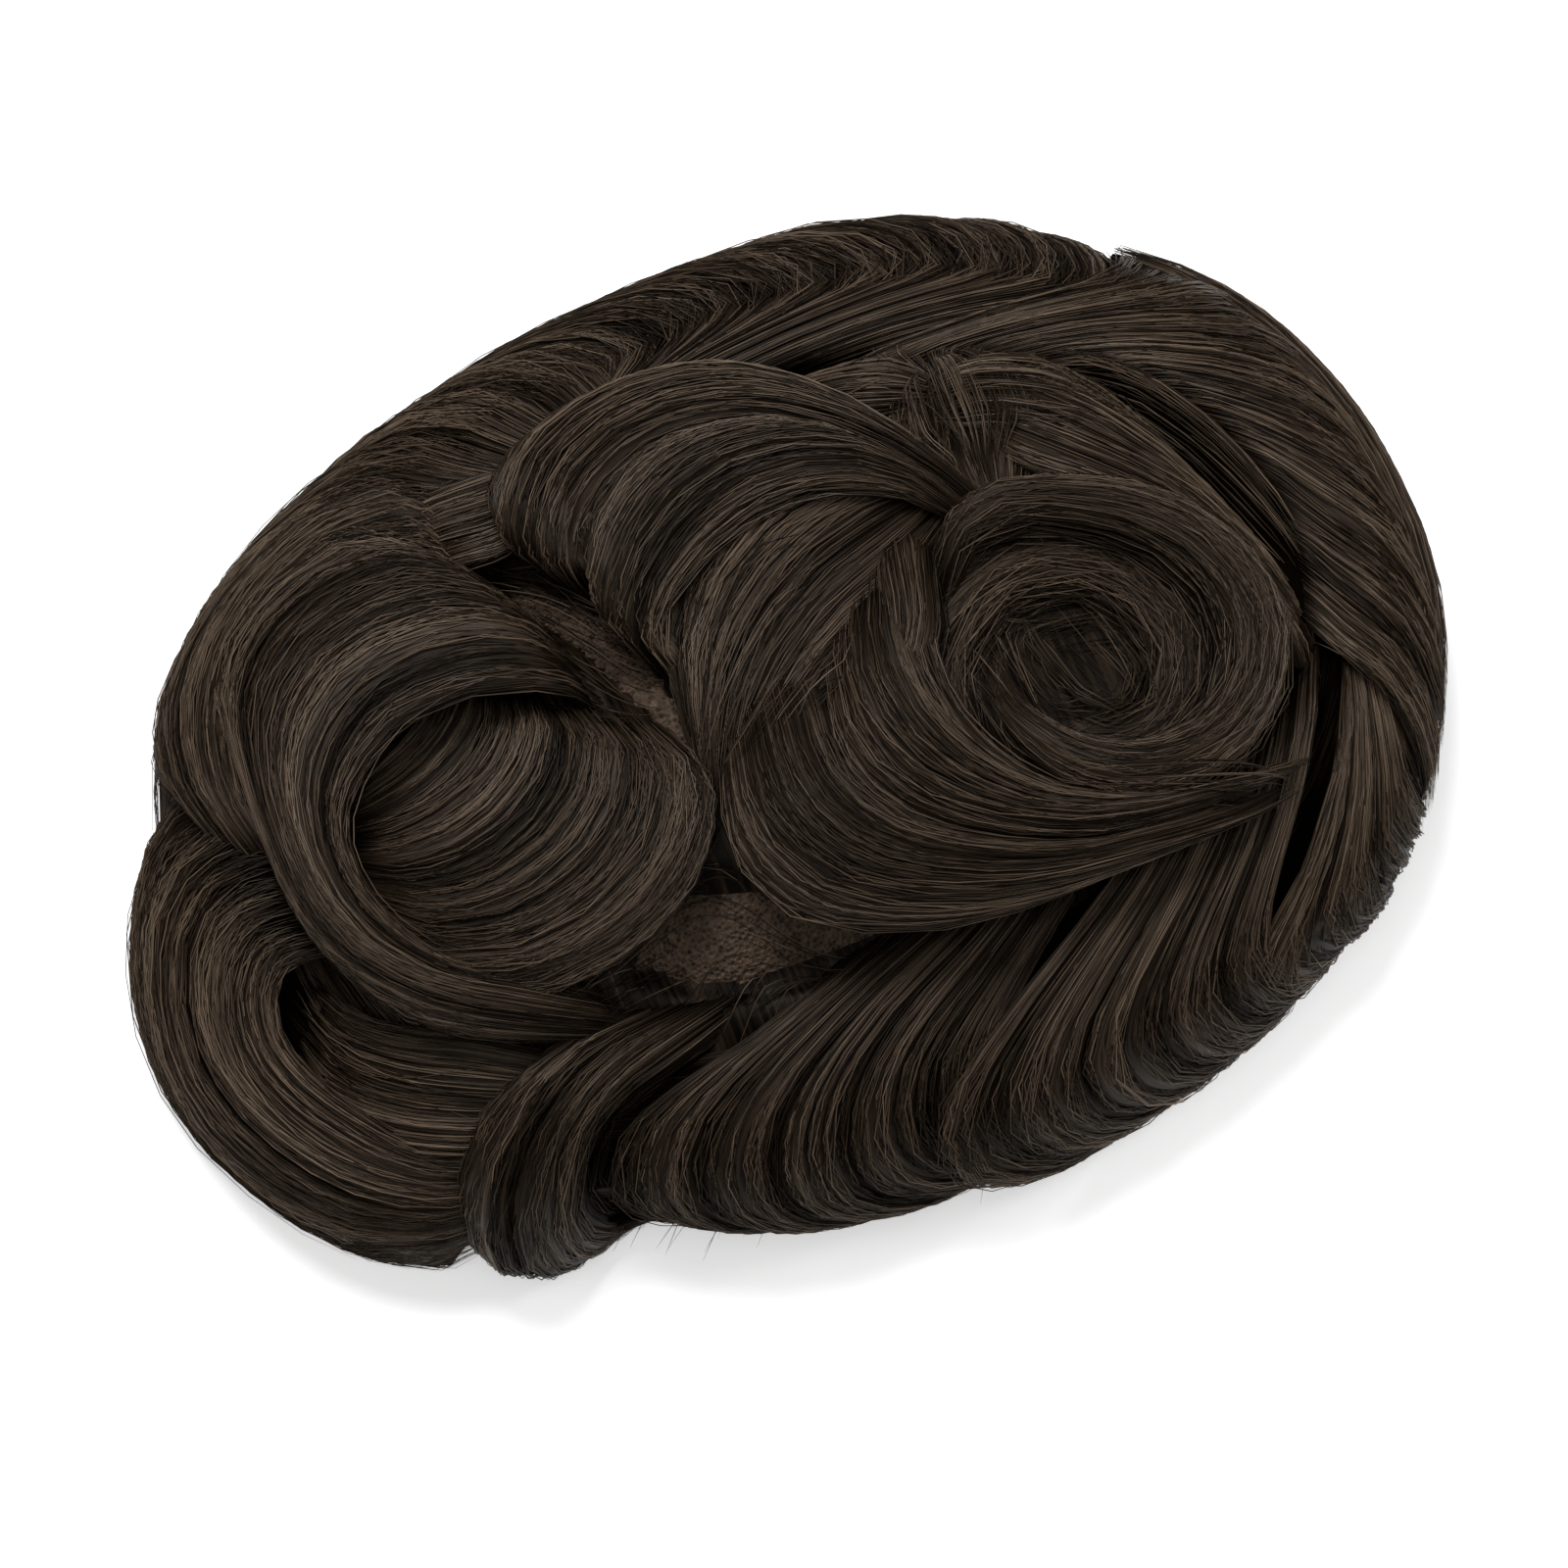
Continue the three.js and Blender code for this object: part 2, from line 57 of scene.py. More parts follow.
ROOT_GAP = 0.4 * MM
ROOT_DROP = 1.5 * MM
HAIR_LOFT = 14 * MM
HAIR_RIM = 18 * MM
ROLL_REACH = 24 * MM
ROLL_HEIGHT = 41 * MM
SWIRL_RADIUS = 35 * MM
OUTLINE_POWER = 2.2
LEAST_GAP = 0.3 * MM
PATCH_BLEND = 5 * MM

# The locks' thickness, how far their edges drop, and the ridges along them.
ROLL_DEPTH = 6.5 * MM
BAND_DEPTH = 12 * MM
BED_DEPTH = 11 * MM
WISP_DEPTH = 5 * MM
EDGE_DROP = 3.5 * MM
SEAM_DROP = 1.2 * MM
RIDGE_LENGTHS_MM = (15, 7.5, 3.6, 1.9)
CREST_PLACE = 0.48
CREST_SPREAD = 0.12
BODY_SINK = 1.6 * MM
BODY_END = 0.97
BODY_ROOT = 0.12
BODY_POINT = 0.16
BODY_UNDERSIDE = 8

# Strands. A strand stands for a wisp of a few hairs.
STRAND_RADIUS = 0.125 * MM
STRAND_PITCH = 9 * MM
STRAND_SIDES = 3
STRAND_STEPS = (7, 15)
CLUMP_WIDTH = 1.6 * MM
TONE_WIDTH = 4 * MM
STRAY_WIDTH = 4 * MM
COVERAGE = 2.12
LOOSE_SHARE = 0.05
FRINGE_SHARE = 0.08
ROOT_STRANDS = 2500
ROOT_LENGTHS_MM = (14, 30)
ROOT_LEAN = 0.16
ROOT_STEPS = 8

# A tint of 0 is nearly black, and one of 1 the lightest hair. The ridge tint paints the valleys between
# ridges darker and their crests lighter, and the body and lining tints make the hair's inner forms dark:
# these are painted shade.
# A lock's root is painted darker too, as painted shade in the crevice under it: the pair is how much darker
# the root is, and the share of its length that this painted shade fades over.
RIDGE_SHADE_TINT = 0.3 / MM
BODY_SHADE_TINT = 0.24
DOME_TINT = 0.14
LINING_SHADE_TINT = -0.1
ROOT_SHADE = (0.15, 0.12)
NO_ROOT_SHADE = (0, 1)

# The colours of the hair and the cap's mesh, from dark to light, and their places on a scale from 0 to 1.
HAIR_COLOURS = [(0.05, (0.002, 0.0013, 0.0008)), (0.45, (0.024, 0.0152, 0.009)), (1.0, (0.15, 0.105, 0.07))]
MESH_COLOURS = [(0.5, (0.012, 0.007, 0.004)), (1.0, (0.08, 0.05, 0.03))]

rng = np.random.default_rng(7)

# Each row is one section across a lock, from its root to its tip: X and Y of its outer and inner edge, as
# shares of the cap's half-length and half-width, and the edges' rises. A rise of 0 lies on the hair's dome,
# and one of -1 a hair loft lower.
BANDS = {
    "forelock": dict(bulge=0.35, span=0.6, sections=[
        (-0.45, 0.72, -0.27, 0.02, -1.0, -1.0),
        (-0.54, 0.9, -0.36, 0.17, -0.15, -0.2),
        (-0.64, 1.03, -0.48, 0.27, -0.1, 0.15),
        (-0.82, 0.96, -0.65, 0.3, -0.1, 0.35),
        (-0.94, 0.76, -0.77, 0.22, 0.0, 0.5),
        (-0.965, 0.46, -0.845, 0.1, 0.15, 0.55),
        (-0.985, 0.06, -0.86, -0.05, 0.3, 0.5),
        (-0.96, -0.2, -0.83, -0.22, 0.25, 0.35),
        (-0.87, -0.45, -0.75, -0.36, 0.15, 0.0),
        (-0.75, -0.6, -0.65, -0.43, -0.15, -0.2),
        (-0.65, -0.68, -0.56, -0.49, -0.55, -0.4),
        (-0.56, -0.72, -0.48, -0.54, -1.1, -1.0),
    ]),
    "forelock_bowl": dict(depth=BED_DEPTH, bulge=0.0, edge=SEAM_DROP, span=0.45, gather=0.95, sections=[
        (-0.26, 0.08, -0.56, 0.42, -0.75, -0.75),
        (-0.22, -0.2, -0.6, 0.37, -0.3, -0.8),
        (-0.33, -0.44, -0.65, 0.33, -0.15, -0.85),
        (-0.54, -0.54, -0.7, 0.3, -0.1, -0.85),
        (-0.75, -0.45, -0.76, 0.28, -0.1, -0.85),
        (-0.88, -0.16, -0.83, 0.26, -0.4, -0.8),
    ]),
    "top_wave_inner": dict(bulge=0.3, sections=[
        (-0.235, 0.36, -0.17, 0.0, -1.0, -1.0),
        (-0.27, 0.5, -0.21, 0.19, 0.0, -0.2),
        (-0.2, 0.66, -0.13, 0.33, 0.15, -0.1),
        (-0.06, 0.76, 0.0, 0.43, 0.2, 0.0),
        (0.1, 0.73, 0.13, 0.45, 0.2, 0.1),
        (0.23, 0.6, 0.24, 0.39, 0.15, 0.2),
        (0.34, 0.41, 0.32, 0.29, 0.1, 0.1),
        (0.44, 0.2, 0.39, 0.15, -0.3, -0.3),
    ]),
    "top_wave_outer": dict(bulge=0.3, sections=[
        (-0.345, 0.75, -0.235, 0.38, -1.0, -1.0),
        (-0.37, 0.83, -0.27, 0.5, -0.2, -0.1),
        (-0.27, 0.98, -0.2, 0.66, -0.1, 0.05),
        (-0.1, 1.03, -0.06, 0.76, -0.1, 0.1),
        (0.09, 0.97, 0.1, 0.73, -0.1, 0.1),
        (0.24, 0.76, 0.23, 0.6, 0.0, 0.1),
        (0.38, 0.45, 0.34, 0.41, 0.0, 0.0),
        (0.47, 0.2, 0.43, 0.18, -0.35, -0.3),
    ]),
    "lower_wave_outer": dict(bulge=0.35, sections=[
        (-0.14, 0.08, 0.07, 0.16, -0.95, -0.8),
        (-0.2, -0.17, 0.02, -0.1, -0.25, -0.2),
        (-0.24, -0.43, 0.0, -0.33, 0.1, 0.1),
        (-0.17, -0.66, 0.06, -0.52, 0.2, 0.2),
        (0.01, -0.8, 0.19, -0.66, 0.2, 0.2),
        (0.2, -0.85, 0.35, -0.75, 0.15, 0.1),
        (0.41, -0.85, 0.52, -0.77, 0.0, 0.0),
        (0.59, -0.83, 0.65, -0.76, -0.25, -0.2),
        (0.73, -0.79, 0.77, -0.72, -0.6, -0.5),
    ]),
    "lower_wave_inner": dict(bulge=0.3, sections=[
        (0.1, 0.2, 0.36, 0.3, -0.8, -0.5),
        (0.02, -0.1, 0.25, 0.0, -0.2, 0.1),
        (0.0, -0.33, 0.22, -0.22, 0.1, 0.15),
        (0.06, -0.52, 0.25, -0.4, 0.15, 0.0),
        (0.19, -0.66, 0.335, -0.57, 0.1, -0.1),
        (0.35, -0.75, 0.47, -0.66, 0.0, -0.2),
        (0.52, -0.77, 0.62, -0.7, -0.1, -0.3),
        (0.66, -0.77, 0.74, -0.68, -0.3, -0.4),
        (0.77, -0.74, 0.82, -0.64, -0.6, -0.7),
    ]),
    "mid_bowl": dict(depth=BED_DEPTH, bulge=0.1, sections=[
        (0.36, 0.5, 0.4, 0.2, -0.5, -0.4),
        (0.18, 0.58, 0.24, 0.04, -0.35, -0.3),
        (0.0, 0.52, 0.1, -0.05, -0.35, -0.3),
        (-0.15, 0.33, -0.04, -0.18, -0.3, -0.3),
        (-0.24, 0.03, -0.12, -0.28, -0.4, -0.4),
        (-0.26, -0.2, -0.2, -0.34, -0.75, -0.75),
    ]),
    "mid_lock": dict(node="mid_bowl", depth=WISP_DEPTH, bulge=0.15, sections=[
        (0.2, 0.24, 0.34, 0.26, -0.5, -0.45),
        (0.17, 0.1, 0.3, 0.12, -0.2, -0.1),
        (0.14, -0.04, 0.26, -0.05, -0.05, 0.1),
        (0.09, -0.14, 0.2, -0.17, -0.05, 0.1),
        (0.04, -0.22, 0.12, -0.27, -0.2, -0.1),
    ]),
    "mid_strays": dict(node="mid_bowl", body=False, cover=0.12, span=0.3, sections=[
        (0.1, 0.4, 0.12, -0.1, 0.1, 0.0),
        (-0.02, 0.3, 0.0, -0.14, 0.1, 0.05),
        (-0.14, 0.12, -0.12, -0.24, 0.0, 0.0),
        (-0.26, -0.1, -0.22, -0.34, -0.2, -0.2),
    ]),
    "wave_strays": dict(node="lower_wave_inner", body=False, cover=0.14, span=0.3, sections=[
        (0.34, -0.5, 0.38, -0.66, -0.2, -0.1),
        (0.48, -0.58, 0.52, -0.74, 0.0, 0.0),
        (0.62, -0.64, 0.64, -0.8, -0.1, -0.1),
        (0.74, -0.68, 0.74, -0.84, -0.5, -0.5),
    ]),
    "eye_strays": dict(node="swirl_core", body=False, cover=0.2, span=0.4, sections=[
        (0.36, -0.1, 0.6, -0.08, -0.55, -0.55),
        (0.4, -0.28, 0.62, -0.24, -0.85, -0.85),
        (0.44, -0.46, 0.64, -0.42, -0.6, -0.6),
    ]),
    "crown_strays": dict(node="crown_fan_back", body=False, cover=0.3, span=0.3, sections=[
        (0.6, 0.72, 0.56, 0.5, -0.6, -0.6),
        (0.78, 0.62, 0.72, 0.38, -0.6, -0.5),
        (0.9, 0.38, 0.82, 0.14, -0.65, -0.5),
        (0.96, 0.06, 0.88, -0.12, -0.7, -0.5),
        (0.98, -0.26, 0.92, -0.36, -0.8, -0.6),
    ]),
    "top_fill": dict(node="top_front_roll", depth=BED_DEPTH, bulge=0.1, edge=SEAM_DROP, gather=0.9, sections=[
        (-0.2, 1.06, -0.26, 0.74, -0.9, -0.75),
        (-0.34, 1.1, -0.36, 0.68, -0.7, -0.55),
        (-0.46, 1.12, -0.44, 0.7, -0.7, -0.5),
        (-0.58, 1.08, -0.52, 0.74, -0.9, -0.7),
    ]),
    "crown_fan_back": dict(depth=BED_DEPTH, bulge=0.05, edge=SEAM_DROP, root_shade=NO_ROOT_SHADE, span=0.3,
                           gather=1.0, sections=[
        (0.54, 0.7, 0.46, 0.56, -0.85, -0.85),
        (0.68, 0.64, 0.52, 0.32, -0.7, -0.25),
        (0.77, 0.46, 0.62, 0.16, -0.7, -0.1),
        (0.83, 0.2, 0.75, 0.0, -0.75, -0.1),
        (0.88, -0.06, 0.83, -0.22, -0.8, -0.15),
        (0.91, -0.3, 0.86, -0.42, -0.9, -0.4),
        (0.9, -0.5, 0.85, -0.56, -1.3, -1.0),
    ]),
    "crown_fan_front": dict(depth=BED_DEPTH, bulge=0.0, edge=SEAM_DROP, root_shade=NO_ROOT_SHADE, span=0.3,
                            gather=1.0, sections=[
        (0.41, 0.7, 0.59, 0.68, -0.84, -0.84),
        (0.36, 0.57, 0.61, 0.5, -0.64, -0.6),
        (0.33, 0.44, 0.58, 0.3, -0.5, -0.3),
        (0.37, 0.3, 0.52, 0.18, -0.4, -0.2),
        (0.41, 0.16, 0.5, 0.06, -0.6, -0.35),
    ]),
    "crown_fan_far": dict(node="crown_fan_front", depth=WISP_DEPTH, bulge=0.0, edge=SEAM_DROP, span=0.2,
                          cover=0.8, gather=1.0, root_shade=NO_ROOT_SHADE, sections=[
        (0.5, 0.67, 0.45, 0.58, -0.85, -0.85),
        (0.44, 0.82, 0.28, 0.52, -0.75, -0.6),
        (0.32, 0.88, 0.18, 0.62, -1.0, -0.75),
        (0.16, 0.92, 0.06, 0.74, -1.4, -1.1),
    ]),
    "crown_fan_right": dict(node="crown_fan_back", depth=WISP_DEPTH, bulge=0.0, edge=SEAM_DROP, span=0.2,
                            cover=0.8, gather=1.0, root_shade=NO_ROOT_SHADE, sections=[
        (0.48, 0.67, 0.57, 0.6, -0.85, -0.85),
        (0.42, 0.82, 0.72, 0.62, -0.75, -0.68),
        (0.46, 0.88, 0.79, 0.58, -1.0, -0.95),
        (0.5, 0.91, 0.84, 0.54, -1.5, -1.5),
    ]),
    # Its root is painted much darker, as painted shade under the forelock.
    "front_roll": dict(bulge=0.4, depth=BED_DEPTH, gather=0.85, root_shade=(0.35, 0.3), sections=[
        (-0.9, 0.5, -0.86, -0.2, -0.8, -0.6),
        (-1.02, 0.58, -0.96, -0.14, -0.75, -0.1),
        (-1.14, 0.52, -1.03, -0.12, -0.8, 0.1),
        (-1.24, 0.34, -1.08, -0.18, -0.9, 0.2),
        (-1.3, 0.05, -1.1, -0.28, -0.95, 0.2),
        (-1.29, -0.26, -1.09, -0.38, -0.95, 0.2),
        (-1.21, -0.56, -1.06, -0.49, -0.95, 0.15),
        (-1.1, -0.79, -1.0, -0.62, -0.95, 0.05),
        (-0.97, -0.92, -0.91, -0.74, -1.0, -0.25),
        (-0.82, -0.97, -0.79, -0.82, -1.15, -0.75),
    ]),
    "front_side_roll": dict(bulge=0.35, depth=BED_DEPTH, edge=SEAM_DROP, gather=0.9, sections=[
        (-0.36, 1.2, -0.42, 0.62, -0.95, -0.95),
        (-0.5, 1.27, -0.48, 0.8, -0.98, -0.3),
        (-0.68, 1.2, -0.6, 0.88, -1.0, -0.2),
        (-0.86, 1.05, -0.74, 0.84, -1.0, -0.15),
        (-0.99, 0.88, -0.85, 0.7, -0.8, -0.05),
        (-1.06, 0.72, -0.92, 0.52, -0.5, 0.0),
        (-1.08, 0.56, -0.95, 0.34, -0.25, 0.05),
        (-1.06, 0.4, -0.94, 0.18, -0.35, -0.1),
        (-1.02, 0.26, -0.93, 0.06, -0.7, -0.4),
    ]),
    "front_core": dict(depth=BED_DEPTH, bulge=0.0, edge=SEAM_DROP, span=0.3, gather=0.9, sections=[
        (-1.1, -0.42, -0.98, -0.12, -0.9, -0.9),
        (-1.08, -0.56, -0.94, -0.3, -0.5, -0.65),
        (-1.02, -0.7, -0.86, -0.42, -0.35, -0.55),
        (-0.93, -0.8, -0.78, -0.5, -0.4, -0.55),
        (-0.82, -0.86, -0.7, -0.58, -0.6, -0.65),
        (-0.72, -0.88, -0.62, -0.64, -0.9, -0.9),
    ]),
    "front_depth": dict(node="front_core", depth=WISP_DEPTH, bulge=0.0, sections=[
        (-1.04, 0.2, -0.9, 0.1, -1.2, -1.0),
        (-1.1, -0.1, -0.86, -0.2, -1.1, -0.9),
        (-1.08, -0.4, -0.8, -0.46, -1.1, -0.9),
        (-0.96, -0.66, -0.7, -0.6, -1.2, -0.9),
    ]),
    "crown_knots": dict(node="crown_fan_front", body=False, cover=0.35, span=0.25, tone=0.05,
                        root_shade=NO_ROOT_SHADE, sections=[
        (0.4, 0.7, 0.6, 0.76, -0.68, -0.72),
        (0.36, 0.6, 0.63, 0.62, -0.52, -0.55),
        (0.34, 0.48, 0.62, 0.46, -0.42, -0.4),
        (0.34, 0.36, 0.58, 0.3, -0.4, -0.3),
    ]),
    "crown_wisps": dict(node="crown_fan_back", body=False, cover=0.35, span=0.25, tone=0.05,
                        root_shade=NO_ROOT_SHADE, sections=[
        (0.46, 0.72, 0.42, 0.5, -0.68, -0.55),
        (0.56, 0.72, 0.52, 0.44, -0.6, -0.42),
        (0.66, 0.68, 0.6, 0.34, -0.58, -0.3),
        (0.75, 0.6, 0.66, 0.24, -0.62, -0.22),
    ]),
}

# Each row is one section of the whorl at the back: a heading in degrees, outer and inner radius as shares of
# the whorl's radius, and rises as above.
SWIRL_CENTRE = (0.485, -0.29)
SWIRLS = {
    "swirl_ring": dict(depth=BED_DEPTH, bulge=0.25, span=0.4, sections=[
        (140, 0.95, 0.8, -0.6, -0.6),
        (106, 1.14, 0.84, 0.0, -0.1),
        (70, 1.05, 0.7, 0.1, -0.2),
        (35, 1.08, 0.66, 0.15, -0.25),
        (-3, 1.13, 0.64, 0.1, -0.3),
        (-40, 1.0, 0.57, 0.05, -0.35),
        (-78, 0.82, 0.46, 0.0, -0.45),
        (-118, 0.68, 0.38, -0.15, -0.55),
        (-158, 0.62, 0.34, -0.35, -0.7),
        (-198, 0.66, 0.36, -0.7, -0.85),
    ]),
    "swirl_core": dict(depth=BED_DEPTH, bulge=0.0, span=0.3, gather=0.9, sections=[
        (215, 1.1, 0.6, -0.7, -0.8),
        (165, 1.0, 0.46, -0.4, -0.8),
        (115, 0.86, 0.34, -0.35, -0.85),
        (60, 0.74, 0.24, -0.35, -0.9),
        (5, 0.66, 0.17, -0.45, -0.95),
        (-50, 0.57, 0.12, -0.55, -1.0),
        (-105, 0.48, 0.08, -0.65, -1.0),
        (-160, 0.4, 0.06, -0.75, -1.05),
    ]),
}

# The rim rolls' shared profile, in even steps down from root to tip: out as a share of the reach, and height
# as a share of the rolls' crest.
ROLL_PROFILE = [
    (-1.3, 1.04),
    (-0.85, 1.04),
    (-0.35, 1.06),
    (0.2, 1.0),
    (0.78, 0.76),
    (1.0, 0.42),
    (0.86, 0.12),
    (0.45, 0.1),
]

# How far the rolls reach beyond the cap, in even steps round the rim from 0 to 360 degrees, as shares.
RIM_REACH = [
    (reach,)
    for reach in (
        0.89, 0.95, 1.07, 1.19, 1.27, 1.31, 1.22, 1.16, 1.08, 1.12, 1.1, 1.08, 1.0,
        1.0, 0.92, 0.85, 0.76, 0.8, 0.9, 0.93, 1.01, 1.06, 0.98, 0.89, 0.89,
    )
]

# Each rim roll: where its strands cross the crest in degrees round the rim, how many degrees they swing from
# root to crest and from crest to tip, at its start and its end, how late they swing, and the shares of the
# way down the profile that they begin at (at its start and its end), turn at and end at. The rest are looks,
# as every lock has them. A tilt lifts its end's and its start's edge, in millimetres.
# A negative tone colours a roll darker, as painted shade where less light falls on it, and a darker root is
# painted shade in the crevice under the roll.
ROLLS = {
    "front_tail": dict(start=217, end=233, root=(18, 24), tip=(6, 8), turn=0.55,
                       bulge=0.4, edge=1.3 * EDGE_DROP, tilt=(-4, 0), tone=-0.08),
    "side_front_roll": dict(start=235, end=271, root=(30, 30), tip=(26, 24), turn=0.55,
                            bulge=0.16, tilt=(-5, -3), tone=-0.11),
    "side_mid_roll": dict(start=266, end=300, root=(34, 36), tip=(26, 20), first=(0.22, 0.34), turn=0.56,
                          bulge=0.12, tilt=(0, 5), tone=-0.04),
    "side_back_roll": dict(start=294, end=337, root=(42, 8), tip=(20, 0), power=1.5, first=(0.4, 0.42),
                           turn=0.6, tilt=(-1, 0)),
    "back_roll": dict(start=331, end=375, root=(8, 34), tip=(-8, -20), power=1.2, first=(0.3, 0.28),
                      last=0.7, tilt=(0, 2), crest=3 * MM, root_shade=(0.3, 0.12)),
    "back_top_roll": dict(start=12, end=38, root=(34, 40), tip=(-20, 0), power=1.2, first=(0.28, 0.28),
                          last=0.7, crest=3 * MM, root_shade=(0.3, 0.12)),
    "top_back_roll": dict(start=35, end=68, root=(40, 56), tip=(16, 44), power=1.6, first=(0.32, 0.32),
                          last=0.85, tilt=(0, -2), tone=-0.12, root_shade=(0.7, 0.16)),
    "top_mid_roll": dict(start=64, end=92, root=(56, 6), tip=(44, 44), power=1.6, first=(0.32, 0.32),
                         last=0.85, tone=-0.12, root_shade=(0.7, 0.16)),
    "top_front_roll": dict(start=88, end=119, root=(0, -20), tip=(44, 44), power=1.4, first=(0.2, 0.2),
                           last=0.9),
}
ROLL_LOOKS = ("bulge", "edge", "tilt", "crest", "root_shade", "tone")

# A strip of strands that run along the rim outside the ridge at the back.
STRIP_ANGLES = (40, -27)
STRIP_DOWN = (0.8, 0.54)
STRIP_LOOKS = dict(depth=WISP_DEPTH, bulge=0.15, edge=SEAM_DROP, gather=0.8)

# A dark lining under the rolls, a sheet of painted shade, so that nothing is seen through between them and
# the cap. Its ends overlap.
LINING_ANGLES = (-24, 358)
LINING_DOWN = (0.04, 0.93)
LINING_LOOKS = dict(depth=WISP_DEPTH, bulge=-0.5, edge=0, tilt=(-7, -7), gather=1.0)

# How the short under-hair lies: X and Y as shares of the cap's half-length and half-width, and the heading of
# the strands in plan, in degrees.
ROOT_FLOW = [
    (-0.85, 0.5, 230),
    (-0.72, 0.22, 225),
    (-0.6, -0.1, 300),
    (-0.45, -0.55, 185),
    (-0.62, -0.68, 205),
    (-0.33, -0.7, 225),
    (-0.2, -0.55, 120),
    (-0.3, 0.3, 120),
    (-0.05, 0.2, 225),
    (0.12, 0.3, 215),
    (0.3, 0.1, 260),
    (-0.1, -0.3, 250),
    (0.1, -0.85, 235),
    (0.45, -0.85, 255),
    (0.42, 0.42, 250),
    (0.5, 0.5, 275),
    (0.3, 0.62, 170),
    (0.4, 0.7, 150),
    (0.5, 0.78, 90),
    (0.66, 0.72, 20),
    (0.65, 0.5, -40),
    (0.85, 0.4, -60),
    (0.98, -0.1, -75),
    (0.9, -0.6, -100),
    (0.5, -0.12, 0),
    (0.65, -0.3, -90),
    (0.48, -0.45, 180),
    (0.32, -0.28, 100),
    (0.0, 0.95, 90),
    (-0.6, 0.9, 110),
]

# Where the bare cap shows: rows along the middle of each patch, and half its width in millimetres.
PATCHES = [
    [(-0.41, 0.74, 3), (-0.35, 0.57, 4.5), (-0.28, 0.36, 5), (-0.24, 0.14, 4.5), (-0.22, 0.0, 3)],
    [(-0.45, -0.5, 3), (-0.36, -0.5, 9), (-0.26, -0.57, 10), (-0.14, -0.66, 6), (-0.02, -0.7, 3)],
]


def through(rows, along):
    """The columns of evenly spaced rows, on a smooth curve through them, at shares of the way along."""
    rows = np.asarray(rows, float)
    last = len(rows) - 1
    place = np.clip(along, 0, 1) * last
    i = np.minimum(place.astype(int), last - 1)
    t = (place - i)[..., None]
    first = (i == 0)[..., None]
    final = (i == last - 1)[..., None]
    p1 = rows[i]
    p2 = rows[i + 1]
    p0 = np.where(first, 2 * p1 - p2, rows[np.maximum(i - 1, 0)])
    p3 = np.where(final, 2 * p2 - p1, rows[np.minimum(i + 2, last)])
    bend = (2 * p0 - 5 * p1 + 4 * p2 - p3) * t**2
    twist = (3 * p1 - p0 - 3 * p2 + p3) * t**3
    return 0.5 * (2 * p1 + (p2 - p0) * t + bend + twist)


def mix(a, b, share):
    return a + (b - a) * share


def signed_power(value, power):
    return np.sign(value) * np.abs(value) ** power


def dome_height(x, y, half_x, half_y, rise):
    """How high a dome over the outline with these half-sizes stands at plan points about its middle."""
    share = np.abs(x / half_x) ** OUTLINE_POWER + np.abs(y / half_y) ** OUTLINE_POWER
    return rise * np.sqrt(np.clip(1 - share, 0, None))


def hair_height(x, y):
    rise = CAP_RISE + HAIR_LOFT - HAIR_RIM
    return HAIR_RIM + dome_height(x, y, HALF_LENGTH + ROLL_REACH, HALF_WIDTH + ROLL_REACH, rise)


def cap_edge(angle):
    """Points on the cap's outline, and the plan directions that face outwards there."""
    power = 2 / OUTLINE_POWER
    c = signed_power(np.cos(angle), power)
    s = signed_power(np.sin(angle), power)
    out = np.stack([
        signed_power(c, OUTLINE_POWER - 1) / HALF_LENGTH,
        signed_power(s, OUTLINE_POWER - 1) / HALF_WIDTH,
    ], -1)
    out /= np.linalg.norm(out, axis=-1, keepdims=True)
    return np.stack([HALF_LENGTH * c, HALF_WIDTH * s], -1), out


def on_hair(x, y, rise):
    return np.stack([x, y, hair_height(x, y) + HAIR_LOFT * rise], -1) + CAP_CENTRE


def band_surface(sections):
    def surface(across, along):
        at = through(sections, along)
        x = HALF_LENGTH * mix(at[..., 0], at[..., 2], across)
        y = HALF_WIDTH * mix(at[..., 1], at[..., 3], across)
        return on_hair(x, y, mix(at[..., 4], at[..., 5], across))

    return surface


def swirl_surface(sections):
    def surface(across, along):
        at = through(sections, along)
        heading = np.radians(at[..., 0])
        radius = SWIRL_RADIUS * mix(at[..., 1], at[..., 2], across)
        x = HALF_LENGTH * SWIRL_CENTRE[0] + radius * np.cos(heading)
        y = HALF_WIDTH * SWIRL_CENTRE[1] + radius * np.sin(heading)
        return on_hair(x, y, mix(at[..., 3], at[..., 4], across))

    return surface


def rim_skin(angle, down):
    """The skin of the rim rolls, at degrees round the rim and shares of the way down their profile."""
    at = through(ROLL_PROFILE, down)
    edge, out = cap_edge(np.radians(angle))
    reach = ROLL_REACH * through(RIM_REACH, np.mod(angle, 360) / 360)[..., 0]
    plan = edge + out * (reach * at[..., 0])[..., None]
    return np.concatenate([plan, (ROLL_HEIGHT * at[..., 1])[..., None]], -1) + CAP_CENTRE


def rim_place(start, end, root, tip, power=1.9, first=(0.08, 0.08), last=0.96, turn=0.47):
    """Where on the rim's skin a roll's strands lie: they swing over the crest and back."""

    def place(across, along):
        beyond = 2 * along - 1
        share = np.abs(beyond) ** 0.8
        swing = np.where(beyond < 0, mix(root[1], root[0], across), mix(tip[1], tip[0], across))
        angle = mix(end, start, across) + swing * share**power
        top = mix(first[1], first[0], across)
        down = turn + np.where(beyond < 0, top - turn, last - turn) * share
        return angle, down

    return place


def strip_place(across, along):
    return mix(*STRIP_ANGLES, along) + 0 * across, mix(*STRIP_DOWN, across) + 0 * along


def lining_place(across, along):
    return mix(*LINING_ANGLES, along) + 0 * across, mix(*LINING_DOWN, across) + 0 * along


def unit(vectors):
    return vectors / np.maximum(np.linalg.norm(vectors, axis=-1, keepdims=True), 1e-12)


def smooth(value):
    value = np.clip(value, 0, 1)
    return value * value * (3 - 2 * value)


